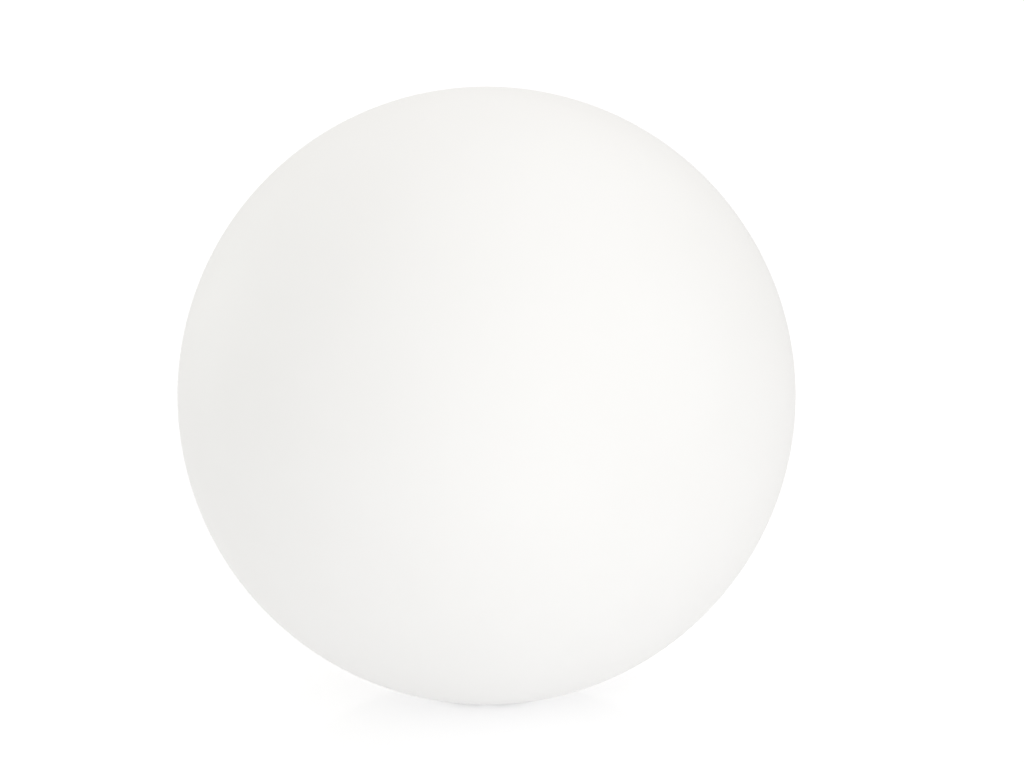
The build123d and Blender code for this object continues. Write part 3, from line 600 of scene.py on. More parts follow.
def take_mesh(name: str, shape: bmesh.types.BMesh) -> Mesh:
    """Turn a working shape into a mesh and let the shape go.

    Args:
        name: name of the mesh.
        shape: the working shape.

    Returns:
        The mesh.
    """
    mesh = bpy.data.meshes.new(name)
    shape.to_mesh(mesh)
    shape.free()
    return mesh


def join_meshes(name: str, *meshes: Mesh) -> Mesh:
    """Gather several meshes into one new mesh.

    Args:
        name: name of the new mesh.
        meshes: the meshes.

    Returns:
        The new mesh.
    """
    shape = bmesh.new()
    for mesh in meshes:
        shape.from_mesh(mesh)
    return take_mesh(name, shape)


def block_mesh(name: str, x: Span, y: Span, z: Span, round_edge: float) -> Mesh:
    """Make a block with rounded edges.

    Args:
        name: name of the mesh.
        x: its span along x.
        y: its span along y.
        z: its span along z.
        round_edge: how far in from each edge its round begins.

    Returns:
        The mesh.
    """
    low, high = (Vector(corner) for corner in zip(x, y, z))
    shape = bmesh.new()
    bmesh.ops.create_cube(shape, size=1.0, matrix=Matrix.LocRotScale((low + high) / 2, None, high - low))
    edges = {"offset": round_edge, "segments": ROUND_STEPS, "affect": "EDGES", "profile": 0.5}
    bmesh.ops.bevel(shape, geom=shape.edges, **edges)
    return take_mesh(name, shape)


def loft_mesh(name: str, loops: list[list[Point]]) -> Mesh:
    """Make a closed mesh through loops of points.

    Args:
        name: name of the mesh.
        loops: the loops in order, each with as many points, the first and last of which get a cap.

    Returns:
        The mesh.
    """
    shape = bmesh.new()
    rows = [[shape.verts.new(point) for point in loop] for loop in loops]
    for near, far in zip(rows, rows[1:]):
        for side in range(len(near)):
            beside = (side + 1) % len(near)
            shape.faces.new((near[side], near[beside], far[beside], far[side]))
    shape.faces.new(reversed(rows[0]))
    shape.faces.new(rows[-1])
    bmesh.ops.recalc_face_normals(shape, faces=shape.faces)
    return take_mesh(name, shape)


def turning_tree() -> Tree:
    """Build the tree that turns a profile about an upright axis.

    Returns:
        The tree, which bends a grid with a row for each point of the profile.
    """
    tree = Tree("turned_piece")
    sides, centre = tree.input("Sides", Input.COUNT), tree.input("Centre", Input.PLACE)
    finish = tree.input("Finish", Input.FINISH)
    size = tree.node("GeometryNodeAttributeDomainSize", {"Geometry": tree.shape}, component="MESH")
    rows = size.outputs["Point Count"]
    corners = {"Size X": 1.0, "Size Y": 1.0, "Vertices X": tree.sum("ADD", sides, 1), "Vertices Y": rows}
    grid = tree.node("GeometryNodeMeshGrid", corners).outputs["Mesh"]
    place = tree.node("GeometryNodeInputPosition").outputs["Position"]
    flat = tree.node("ShaderNodeSeparateXYZ", {"Vector": place})
    turn = tree.sum("MULTIPLY", tree.sum("ADD", flat.outputs["X"], 0.5), math.tau)
    row = tree.sum("MULTIPLY", tree.sum("ADD", flat.outputs["Y"], 0.5), tree.sum("SUBTRACT", rows, 1))
    index = tree.sum("ROUND", row)
    point = tree.node(
        "GeometryNodeSampleIndex",
        {"Geometry": tree.shape, "Value": place, "Index": index},
        data_type="FLOAT_VECTOR",
        domain="POINT",
    )
    reach = tree.node("ShaderNodeSeparateXYZ", {"Vector": point.outputs["Value"]})
    x = tree.sum("MULTIPLY", reach.outputs["X"], tree.sum("COSINE", turn))
    y = tree.sum("MULTIPLY", reach.outputs["X"], tree.sum("SINE", turn))
    spun = tree.node("ShaderNodeCombineXYZ", {"X": x, "Y": y, "Z": reach.outputs["Z"]}).outputs["Vector"]
    turned = tree.node("GeometryNodeSetPosition", {"Geometry": grid, "Position": spun}).outputs["Geometry"]
    seams = {"Geometry": turned, "Distance": SEAM}
    closed = tree.node("GeometryNodeMergeByDistance", seams).outputs["Geometry"]
    placed = tree.node("GeometryNodeTransform", {"Geometry": closed, "Translation": centre})
    tree.close(placed.outputs["Geometry"], finish)
    return tree


def repeat_around(tree: Tree, shape: Socket) -> Socket:
    """Repeat a shape about the axis, in a row, or both.

    Args:
        tree: the tree that gets the nodes, with inputs for count, start, step and pitch.
        shape: the shape at its first place.

    Returns:
        The repeated shape, as instances.
    """
    count, start = tree.input("Count", Input.COUNT), tree.input("Start", Input.NUMBER)
    step, pitch = tree.input("Step", Input.NUMBER), tree.input("Pitch", Input.PLACE)
    number = tree.node("GeometryNodeInputIndex").outputs["Index"]
    turn = tree.sum("ADD", start, tree.sum("MULTIPLY", step, number))
    shift = tree.node("ShaderNodeVectorMath", {0: pitch, "Scale": number}, operation="SCALE")
    spots = {"Count": count, "Position": shift.outputs["Vector"]}
    points = tree.node("GeometryNodePoints", spots).outputs["Points"]
    facing = tree.node("ShaderNodeCombineXYZ", {"Z": turn}).outputs["Vector"]
    copies = {"Points": points, "Instance": shape, "Rotation": facing}
    return tree.node("GeometryNodeInstanceOnPoints", copies).outputs["Instances"]


def repeating_tree() -> Tree:
    """Build the tree that sets copies of a piece at a radius and a height about the axis.

    Returns:
        The tree.
    """
    tree = Tree("repeated_piece")
    radius, height = tree.input("Radius", Input.NUMBER), tree.input("Height", Input.NUMBER)
    finish = tree.input("Finish", Input.FINISH)
    place = tree.node("ShaderNodeCombineXYZ", {"X": radius, "Z": height}).outputs["Vector"]
    first = tree.node("GeometryNodeTransform", {"Geometry": tree.shape, "Translation": place})
    tree.close(repeat_around(tree, first.outputs["Geometry"]), finish)
    return tree


def strip_tree() -> Tree:
    """Build the tree that bends a flat strip along a path and repeats it about the axis.

    Returns:
        The tree.
    """
    tree = Tree("bent_strip")
    width, thickness = tree.input("Width", Input.NUMBER), tree.input("Thickness", Input.NUMBER)
    bend, edge = tree.input("Bend", Input.NUMBER), tree.input("Edge", Input.NUMBER)
    finish = tree.input("Finish", Input.FINISH)
    path = tree.node("GeometryNodeMeshToCurve", {"Mesh": tree.shape}).outputs["Curve"]
    bends = {"Curve": path, "Radius": bend, "Count": BEND_STEPS}
    bent = tree.node("GeometryNodeFilletCurve", bends, mode="POLY")
    blank = tree.node("GeometryNodeCurvePrimitiveQuadrilateral", {"Width": thickness, "Height": width})
    edges = {"Curve": blank.outputs["Curve"], "Radius": edge, "Count": STRIP_EDGE_STEPS}
    section = tree.node("GeometryNodeFilletCurve", edges, mode="POLY")
    swept = tree.node(
        "GeometryNodeCurveToMesh",
        {"Curve": bent.outputs["Curve"], "Profile Curve": section.outputs["Curve"], "Fill Caps": True},
    )
    tree.close(repeat_around(tree, swept.outputs["Mesh"]), finish)
    return tree


@dataclass
class Workshop:
    """The shared Geometry Nodes trees, each made once."""

    turning: Tree = field(default_factory=turning_tree)
    repeating: Tree = field(default_factory=repeating_tree)
    strips: Tree = field(default_factory=strip_tree)

    def turn(
        self,
        name: str,
        profile: Profile,
        finish: Finish,
        sides: int,
        centre: Point = (0.0, 0.0, 0.0),
    ) -> Piece:
        """Turn a profile into a round piece.

        Args:
            name: name of the piece.
            profile: points as distance from the axis and height.
            finish: its finish.
            sides: number of faces round it.
            centre: where its axis stands.

        Returns:
            The piece.
        """
        piece = new_piece(name, profile_mesh(name, profile))
        self.turning.run(piece, sides=sides, centre=centre, finish=finish.material())
        return piece

    def repeat(self, name: str, mesh: Mesh, finish: Finish, **places: Any) -> Piece:
        """Repeat a mesh about the axis or in a row.

        Args:
            name: name of the piece that holds all copies.
            mesh: one copy.
            finish: its finish.
            places: count, radius, height, pitch, and start and step in radians. Without a step, the copies
                share a full turn.

        Returns:
            The piece.
        """
        places.setdefault("step", math.tau / places["count"])
        piece = new_piece(name, mesh)
        self.repeating.run(piece, finish=finish.material(), **places)
        return piece


def hand_over(piece: Piece, body: Body, slot: str, *nodes: str) -> None:
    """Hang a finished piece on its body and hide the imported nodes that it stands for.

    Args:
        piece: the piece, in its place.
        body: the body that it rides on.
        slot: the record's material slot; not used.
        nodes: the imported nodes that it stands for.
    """
    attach(piece, body.value)
    if nodes:
        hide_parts(*nodes)
    log.info("%s: %d faces, rides on %s", piece.name, len(piece.data.polygons), body.value)


def dress(finish: Finish, *nodes: str) -> None:
    """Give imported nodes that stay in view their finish.

    Args:
        finish: the finish.
        nodes: names of the nodes.
    """
    for node in nodes:
        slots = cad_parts[node].data.materials
        slots.clear()
        slots.append(finish.material())
        log.info("%s: packed shape in %s", node, finish.name)


# Sub-assemblies


@dataclass
class Assembly:
    """A sub-assembly of the light, made in the shared workshop."""

    shop: Workshop

    def build(self) -> None:
        """Make the sub-assembly's own pieces and dress its packed ones."""
        raise NotImplementedError


@dataclass
class GlobeShell(Assembly):
    """The moulded ball: cut flat at the foot, with a well, a seat and a neck."""

    radius: float = 0.200
    wall: float = 0.003
    land: float = 0.002  # height of the flat ring under it
    flat_radius: float = 0.04150833
    well_radius: float = 0.03600833
    neck_radius: float = 0.03100833
    seat: float = 0.014
    land_outer_round: float = 0.0025
    land_inner_round: float = 0.0015
    well_outer_round: float = 0.002
    gutter_round: float = 0.003
    neck_round: float = 0.0008
    key_width: float = 0.006
    key_depth: float = 0.0012
    key_root: float = 0.0004  # how far it reaches into the wall
    key_round: float = 0.0003
    key_span: Span = (0.004, 0.011)
    sides: int = 320
    outside_steps: int = 150
    inside_steps: int = 64
    land_steps: int = 8
    neck_steps: int = 5
    bend_steps: int = 6

    @property
    def centre(self) -> float:
        """Height of the ball's centre."""
        return self.land + math.sqrt(self.radius**2 - self.flat_radius**2)

    def profile(self) -> Profile:
        """Give the wall's outline, from the top outside, round the neck, to the top inside.

        Returns:
            The points in order.
        """
        middle = (0.0, self.centre)
        inner, skin, top = self.radius - self.wall, self.well_radius + self.wall, self.seat + self.wall
        land_up = self.land + self.land_outer_round
        land_out = math.sqrt((self.radius - self.land_outer_round) ** 2 - (self.centre - land_up) ** 2)
        land_turn = math.atan2(land_up - self.centre, land_out)
        gutter_out = skin + self.gutter_round
        gutter_up = self.centre - math.sqrt((inner - self.gutter_round) ** 2 - gutter_out**2)
        gutter_turn = math.atan2(gutter_up - self.centre, gutter_out)
        outside = arc(middle, self.radius, QUARTER, land_turn, self.outside_steps)
        outside[0] = (0.0, outside[0][1])
        inside = arc(middle, inner, gutter_turn, QUARTER, self.inside_steps)
        inside[-1] = (0.0, inside[-1][1])
        lip = (self.well_radius + self.land_inner_round, self.land + self.land_inner_round)
        neck = (self.neck_radius + self.neck_round, top - self.neck_round)
        brim = (skin - self.well_outer_round, top - self.well_outer_round)
        gutter = (gutter_out, gutter_up)
        return [
            *outside,
            *arc((land_out, land_up), self.land_outer_round, land_turn, -QUARTER, self.land_steps)[1:],
            *arc(lip, self.land_inner_round, -QUARTER, -math.pi, self.bend_steps),
            (self.well_radius, self.seat),
            (self.neck_radius, self.seat),
            *arc(neck, self.neck_round, math.pi, QUARTER, self.neck_steps),
            *arc(brim, self.well_outer_round, QUARTER, 0.0, self.bend_steps),
            *arc(gutter, self.gutter_round, -math.pi, gutter_turn, self.bend_steps)[:-1],
            *inside,
        ]

    def build(self) -> None:
        """Turn the ball, add the key in its well, and hand it over."""
        ball = self.shop.turn("globe_ball", self.profile(), GLOBE_OPAL, self.sides)
        depth = (self.well_radius - self.key_depth, self.well_radius + self.key_root)
        key = block_mesh("globe_key", across(self.key_width), depth, self.key_span, self.key_round)
        joined = join_meshes("globe_ball", ball.data, key)
        joined.materials.append(GLOBE_OPAL.material())
        joined.set_sharp_from_angle(angle=CREASE)
        ball.data = joined
        hand_over(ball, Body.GLOBE, "opal_globe", "globe_shell")


@dataclass
class Screw:
    """A pan-head screw with a six-lobed drive."""

    shank_radius: float = 0.0015
    shank_length: float = 0.014
    tip_share: float = 0.4  # of the shank's radius
    head_radius: float = 0.00275
    head_height: float = 0.0022
    head_round: float = 0.0005
    drive_radius: float = 0.00125
    drive_lobe: float = 0.00022
    drive_lobes: int = 6
    drive_depth: float = 0.001
    drive_taper: float = 0.94
    round_steps: int = 4
    sides: int = 36

    def ring(self, radius: float, height: float, lobe: float = 0.0) -> list[Point]:
        """Give a ring of points about the axis, with lobes that swing it out and in."""
        turns = [math.tau * side / self.sides for side in range(self.sides)]
        return [(*polar(radius + lobe * math.cos(self.drive_lobes * turn), turn), height) for turn in turns]

    def mesh(self, name: str, downwards: bool = False) -> Mesh:
        """Make one screw on the Z axis, its head standing on z = 0.

        Args:
            name: name of the mesh.
            downwards: whether the head stands below z = 0.

        Returns:
            The mesh.
        """
        crown = (self.head_radius - self.head_round, self.head_height - self.head_round)
        floor = self.head_height - self.drive_depth
        rings = [
            self.ring(self.shank_radius * self.tip_share, -self.shank_length),
            self.ring(self.shank_radius, self.shank_radius - self.shank_length),
            self.ring(self.shank_radius, 0.0),
            self.ring(self.head_radius, 0.0),
            *(self.ring(*point) for point in arc(crown, self.head_round, 0.0, QUARTER, self.round_steps)),
            self.ring(self.drive_radius, self.head_height, self.drive_lobe),
            self.ring(self.drive_radius * self.drive_taper, floor, self.drive_lobe),
        ]
        mesh = loft_mesh(name, rings)
        if downwards:
            mesh.transform(Matrix.Rotation(math.pi, 4, "X"))
        return mesh


@dataclass
class Base(Assembly):
    """The plate that closes the well, with its feet, gasket, screws and vent."""

    screw_circle: float = 0.02330833
    screw_seat: float = 0.0082
    screw_count: int = 4
    foot_circle: float = 0.03125833
    foot_width: float = 0.0055
    foot_sweep: float = math.radians(62)
    foot_top: float = 0.003
    foot_round: float = 0.0006
    foot_count: int = 4
    foot_side_steps: int = 40
    foot_end_steps: int = 12
    foot_round_steps: int = 5
    tread_depth: float = 0.0006
    tread_count: int = 13
    tread_width: float = 0.0016
    tread_round: float = 0.0002
    gasket_radii: Span = (0.03180833, 0.03450833)
    gasket_span: Span = (0.0115, 0.014)
    gasket_valley: float = 0.0006
    gasket_fullness: float = 0.6  # the beads are fuller at less
    gasket_steps: int = 28
    gasket_sides: int = 128
    vent_place: Point = (0.0, -0.011, 0.0056)
    vent_reach: Span = (0.0011, 0.0034)
    vent_rib_width: float = 0.0008
    vent_rib_proud: float = 0.0004
    vent_rib_count: int = 6

    def vent_rib_mesh(self) -> Mesh:
        """Make one rib of the vent's cap about the cap's own axis."""
        y, z = across(self.vent_rib_width), (-self.vent_rib_proud, self.vent_rib_proud / 2)
        return block_mesh("vent_rib", self.vent_reach, y, z, self.vent_rib_proud / 2)

    def gasket_profile(self) -> Profile:
        """Give the gasket's outline: flat below, with two soft beads above.

        Returns:
            The points in order.
        """
        inner, outer = self.gasket_radii
        low, high = self.gasket_span
        shoulder = high - 2 * self.gasket_valley
        beads: Profile = []
        for step in range(self.gasket_steps + 1):
            share = step / self.gasket_steps
            crest = abs(math.sin(math.tau * share)) ** self.gasket_fullness
            beads.append((outer + (inner - outer) * share, shoulder + (high - shoulder) * crest))
        return [(inner, low), (outer, low), *beads, (inner, low)]

    def foot_outline(self, room: float) -> Profile:
        """Give one foot's outline about angle 0.

        Args:
            room: how far it is drawn in.

        Returns:
            The points in order, as x and y.
        """
        half, inset, middle = self.foot_sweep / 2, self.foot_width / 2 - room, (0.0, 0.0)
        first, last = polar(self.foot_circle, -half), polar(self.foot_circle, half)
        return [
            *arc(middle, self.foot_circle + inset, -half, half, self.foot_side_steps),
            *arc(last, inset, half, half + math.pi, self.foot_end_steps)[1:],
            *arc(middle, self.foot_circle - inset, half, -half, self.foot_side_steps)[1:],
            *arc(first, inset, math.pi - half, math.tau - half, self.foot_end_steps)[1:-1],
        ]

    def foot_mesh(self) -> Mesh:
        """Make one foot's body, rounded towards the floor.

        Returns:
            The mesh.
        """
        corner = (self.foot_round, self.tread_depth + self.foot_round)
        layers = arc(corner, self.foot_round, -QUARTER, -math.pi, self.foot_round_steps)
        layers.append((0.0, self.foot_top))
        loops = [[(x, y, up) for x, y in self.foot_outline(room)] for room, up in layers]
        return loft_mesh("foot_body", loops)

    def tread_mesh(self) -> Mesh:
        """Repeat a cross bar along one foot.

        Returns:
            The mesh of all bars.
        """
        reach = self.foot_width / 2 - self.foot_round
        z = (0.0, 2 * self.tread_depth)
        bars = self.shop.repeat(
            "tread_bars",
            block_mesh("tread_bar", (-reach, reach), across(self.tread_width), z, self.tread_round),
            FOOT_RUBBER_PAINTED_PALE,
            radius=self.foot_circle,
            count=self.tread_count,
            start=-self.foot_sweep / 2,
            step=self.foot_sweep / (self.tread_count - 1),
        )
        mesh = bars.data
        bpy.data.objects.remove(bars)
        return mesh

    def build(self) -> None:
        """Make the gasket, feet, screws and vent's ribs, and dress the plate and what is let into it."""
        gasket = self.shop.turn("seat_gasket_ring", self.gasket_profile(), SEAL_SILICONE, self.gasket_sides)
        hand_over(gasket, Body.BASE, "seal_silicone", "seat_gasket")
        foot = join_meshes("rubber_foot", self.foot_mesh(), self.tread_mesh())
        first = math.pi / self.foot_count
        feet = self.shop.repeat("rubber_feet", foot, FOOT_RUBBER_PAINTED_PALE, count=self.foot_count, start=first)
        pads = [f"foot_pad_{number + 1}" for number in range(self.foot_count)]
        hand_over(feet, Body.BASE, "foot_rubber", *pads)
        screws = self.shop.repeat(
            "panel_screws",
            Screw().mesh("panel_screw", downwards=True),
            SCREW_STEEL,
            radius=self.screw_circle,
            height=self.screw_seat,
            count=self.screw_count,
            start=math.pi / self.screw_count,
        )
        hand_over(screws, Body.BASE, "screw_steel", "base_screws")
        ribs = self.shop.repeat("vent_ribs", self.vent_rib_mesh(), BLACK_PLASTIC, count=self.vent_rib_count)
        ribs.data.transform(Matrix.Translation(self.vent_place))
        hand_over(ribs, Body.BASE, "black_plastic")
        dress(BASE_WHITE, "base_plate")
        dress(BLACK_PLASTIC, "vent_plug")
        dress(PIPE_CLEAR, "light_pipe")
        dress(LAMP_CHIP, "indicator_led")


@dataclass
class LightTower(Assembly):
    """The tube on the base, its spring clips and what is sealed in it."""

    clip_width: float = 0.008
    clip_thickness: float = 0.0005
    clip_bend: float = 0.002
    clip_edge: float = 0.0002
    clip_count: int = 3
    clip_path: tuple[Span, ...] = (  # distances from the axis and heights
        (0.02930833, 0.0520),
        (0.02930833, 0.0360),
        (0.03280833, 0.0220),
        (0.03025833, 0.0170),
        (0.02990833, 0.0142),
    )
    rivet_heights: tuple[float, ...] = (0.048, 0.041)
    rivet_tail: Span = (0.02583363, 0.02663363)
    rivet_tail_radius: float = 0.002
    rivet_radius: float = 0.00125
    rivet_seat: float = 0.02955833
    rivet_head_radius: float = 0.0023
    rivet_head_height: float = 0.0009
    rivet_head_steps: int = 8
    rivet_sides: int = 32
    tube_radius: float = 0.02900833
    grip_span: Span = (0.089, 0.105)
    grip_width: float = 0.0016
    grip_proud: float = 0.0006
    grip_root: float = 0.0006
    grip_round: float = 0.0005
    grip_count: int = 60

    def grip_mesh(self) -> Mesh:
        """Make one moulded rib of the finger grip at angle 0."""
        x = (self.tube_radius - self.grip_root, self.tube_radius + self.grip_proud)
        return block_mesh("grip_rib", x, across(self.grip_width), self.grip_span, self.grip_round)

    def rivet_mesh(self) -> Mesh:
        """Make one clip's rivets, their round heads facing out along X.

        Returns:
            The mesh of all its rivets.
        """
        start, tail = self.rivet_tail
        crown = (self.rivet_head_radius**2 + self.rivet_head_height**2) / (2 * self.rivet_head_height)
        middle = self.rivet_seat + self.rivet_head_height - crown
        rim = math.asin((self.rivet_seat - middle) / crown)
        head = arc((0.0, middle), crown, rim, QUARTER, self.rivet_head_steps)
        head[-1] = (0.0, head[-1][1])
        profile = [
            (0.0, start),
            (self.rivet_tail_radius, start),
            (self.rivet_tail_radius, tail),
            (self.rivet_radius, tail),
            (self.rivet_radius, self.rivet_seat),
            *head,
        ]
        rivet = self.shop.turn("clip_rivet", profile, SCREW_STEEL, self.rivet_sides)
        laid = Matrix.Rotation(QUARTER, 4, "Y")
        meshes = []
        for height in self.rivet_heights:
            mesh = rivet.data.copy()
            mesh.transform(Matrix.Translation((0.0, 0.0, height)) @ laid)
            meshes.append(mesh)
        bpy.data.objects.remove(rivet)
        return join_meshes("clip_rivet_pair", *meshes)

    def build(self) -> None:
        """Bend the clips, set their rivets and the grip's ribs, and dress the tube and its contents."""
        clips = new_piece("neck_clips", profile_mesh("neck_clips", list(self.clip_path)))
        self.shop.strips.run(
            clips,
            width=self.clip_width,
            thickness=self.clip_thickness,
            bend=self.clip_bend,
            edge=self.clip_edge,
            count=self.clip_count,
            step=math.tau / self.clip_count,
            finish=SPRING_STEEL.material(),
        )
        strips = [f"spring_clip_{number + 1}" for number in range(self.clip_count)]
        hand_over(clips, Body.BASE, "spring_steel", *strips)
        rivets = self.shop.repeat("rivet_heads", self.rivet_mesh(), SCREW_STEEL, count=self.clip_count)
        hand_over(rivets, Body.BASE, "screw_steel", "clip_rivets")
        grip = self.shop.repeat("grip_ribs", self.grip_mesh(), TOWER_WHITE, count=self.grip_count)
        hand_over(grip, Body.BASE, "tower_white")
        dress(TOWER_WHITE, "tower_tube")
        dress(SEAL_SILICONE, "tower_seal")
        dress(BOARD_GREEN, "control_board")
        dress(SCREW_STEEL, "board_screws")
        dress(BLACK_PLASTIC, "power_coil", "charger_chip", "switch_body")
        dress(BLACK_PLASTIC, "lower_cell_holder", "upper_cell_holder")
        dress(SINK_METAL, "capacitor")
        dress(TERMINAL_GREEN, "lead_terminal")
        dress(CELL_SLEEVE, "battery_cell_1", "battery_cell_2", "battery_cell_3")
        dress(STRAP_NICKEL, "lower_battery_strap", "upper_battery_strap")
        dress(LEAD_RED, "battery_lead_red", "left_lamp_lead")
        dress(LEAD_BLACK, "battery_lead_black", "right_lamp_lead")


@dataclass
class LampHead(Assembly):
    """The lamps on their heat sink, under an opal dome."""

    screw_circle: float = 0.02480833
    screw_seat: float = 0.1177
    screw_count: int = 3

    def build(self) -> None:
        """Make the dome's screws, and dress the dome, its seal and the lamps."""
        screws = self.shop.repeat(
            "dome_screws",
            Screw().mesh("dome_screw"),
            SCREW_STEEL,
            radius=self.screw_circle,
            height=self.screw_seat,
            count=self.screw_count,
        )
        hand_over(screws, Body.BASE, "screw_steel", "lens_screws")
        dress(DOME_OPAL, "dome_lens")
        dress(SEAL_SILICONE, "dome_gasket")
        dress(SINK_METAL, "heat_sink")
        dress(THERMAL_GREY, "thermal_pad")
        dress(LAMP_BOARD, "led_board")
        dress(LAMP_CHIP, "leds")
        dress(SCREW_STEEL, "led_screws")


@dataclass
class PowerButton(Assembly):
    """The push button in the panel, with a finger dish and a power sign."""

    place: Point = (-0.010, 0.0, 0.0)
    sides: int = 72
    radius: float = 0.0055
    face: float = 0.0046
    dish: float = 0.00035
    dish_radius: float = 0.0044
    dish_steps: int = 12
    edge_round: float = 0.0008
    edge_steps: int = 6
    groove_radius: float = 0.00456
    groove_span: Span = (0.00795, 0.00905)
    panel_top: float = 0.010
    flange_radius: float = 0.0072
    flange_top: float = 0.0112
    nub_radius: float = 0.0015
    nub_top: float = 0.0118
    sign_radius: float = 0.0018
    sign_stroke: float = 0.0004
    sign_proud: float = 0.00012
    sign_gap: float = math.radians(70)
    sign_steps: int = 40
    sign_bar_places: tuple[float, ...] = (0.25, 0.6, 0.95, 1.3)  # shares of the sign's radius
    sign_section: tuple[Span, ...] = (  # shares of half the stroke, and of how proud it stands
        (1.0, 1.0),
        (1.0, -0.5),
        (0.6, -1.0),
        (-0.6, -1.0),
        (-1.0, -0.5),
        (-1.0, 1.0),
    )

    def dish_height(self, out: float) -> float:
        """Give the height of the dished face at a distance from the button's axis."""
        share = min(1.0, out / self.dish_radius)
        return self.face + self.dish * 0.5 * (1 + math.cos(math.pi * share))

    def profile(self) -> Profile:
        """Give the button's outline, from the middle of its face to its nub.

        Returns:
            The points in order.
        """
        reaches = [self.dish_radius * step / self.dish_steps for step in range(self.dish_steps + 1)]
        corner = (self.radius - self.edge_round, self.face + self.edge_round)
        low, high = self.groove_span
        return [
            *((reach, self.dish_height(reach)) for reach in reaches),
            *arc(corner, self.edge_round, -QUARTER, 0.0, self.edge_steps),
            (self.radius, low),
            (self.groove_radius, low),
            (self.groove_radius, high),
            (self.radius, high),
            (self.radius, self.panel_top),
            (self.flange_radius, self.panel_top),
            (self.flange_radius, self.flange_top),
            (self.nub_radius, self.flange_top),
            (self.nub_radius, self.nub_top),
            (0.0, self.nub_top),
        ]

    def sign_line(self, path: Profile) -> Mesh:
        """Make a raised line of the power sign along a path on the dished face.

        Args:
            path: points as x and y from the button's axis.

        Returns:
            The mesh of the line, sunk a little into the face.
        """
        half = self.sign_stroke / 2
        loops = []
        for step, (x, y) in enumerate(path):
            ahead, behind = path[min(step + 1, len(path) - 1)], path[max(step - 1, 0)]
            along = Vector((ahead[0] - behind[0], ahead[1] - behind[1], 0.0)).normalized()
            side = Vector((-along.y, along.x, 0.0)) * half
            face = self.dish_height(math.hypot(x, y))
            middle = Vector(self.place) + Vector((x, y, 0.0))
            section = [(out, face + up * self.sign_proud) for out, up in self.sign_section]
            loops.append([middle + side * out + Vector((0.0, 0.0, up)) for out, up in section])
        return loft_mesh("sign_line", loops)

    def build(self) -> None:
        """Turn the button, lay the sign on it, and dress its seal and plunger."""
        cap = self.shop.turn("button_cap", self.profile(), BUTTON_GREY, self.sides, self.place)
        hand_over(cap, Body.BUTTON, "button_grey", "power_button")
        first, last = QUARTER + self.sign_gap / 2, math.tau + QUARTER - self.sign_gap / 2
        ring = self.sign_line(arc((0.0, 0.0), self.sign_radius, first, last, self.sign_steps))
        bar = self.sign_line([(0.0, self.sign_radius * share) for share in self.sign_bar_places])
        sign = new_piece("button_sign", join_meshes("button_sign", ring, bar))
        sign.data.materials.append(MARK_WHITE.material())
        hand_over(sign, Body.BUTTON, "base_white")
        dress(SEAL_SILICONE, "button_seal")
        dress(BUTTON_GREY, "switch_plunger")


@dataclass
class ChargePort(Assembly):
    """The charge socket under its hinged door."""

    rib_count: int = 3
    rib_first: float = 0.0014
    rib_pitch: float = 0.0008
    rib_width: float = 0.0004
    rib_length: float = 0.0046
    rib_proud: float = 0.0002
    rib_round: float = 0.0001
    door_face: float = 0.0044

    def build(self) -> None:
        """Make the grip on the door's tab, and dress the door, its plug and the socket."""
        x, y, z = across(self.rib_width), across(self.rib_length), across(2 * self.rib_proud)
        ribs = self.shop.repeat(
            "door_grip",
            block_mesh("door_rib", x, y, z, self.rib_round),
            BASE_WHITE,
            radius=self.rib_first,
            height=self.door_face,
            count=self.rib_count,
            step=0.0,
            pitch=(self.rib_pitch, 0.0, 0.0),
        )
        hand_over(ribs, Body.DOOR, "base_white")
        dress(BASE_WHITE, "port_door")
        dress(SEAL_SILICONE, "port_plug")
        dress(SCREW_STEEL, "hinge_pin", "charge_socket")
        dress(BLACK_PLASTIC, "socket_tongue")


# Studio


@dataclass(frozen=True)
class StudioLight:
    """A light that stands round the globe."""

    azimuth: float  # degrees to the right of the camera's side
    elevation: float
    colour: Colour  # light at its middle

    def direction(self) -> Vector:
        """Give the way from the globe to the light."""
        turn, rise = math.radians(self.azimuth), math.radians(self.elevation)
        return Vector((math.sin(turn) * math.cos(rise), -math.cos(turn) * math.cos(rise), math.sin(rise)))


@dataclass(frozen=True)
class Glow(StudioLight):
    """A soft bright patch of the surround."""

    focus: float  # how small the patch is


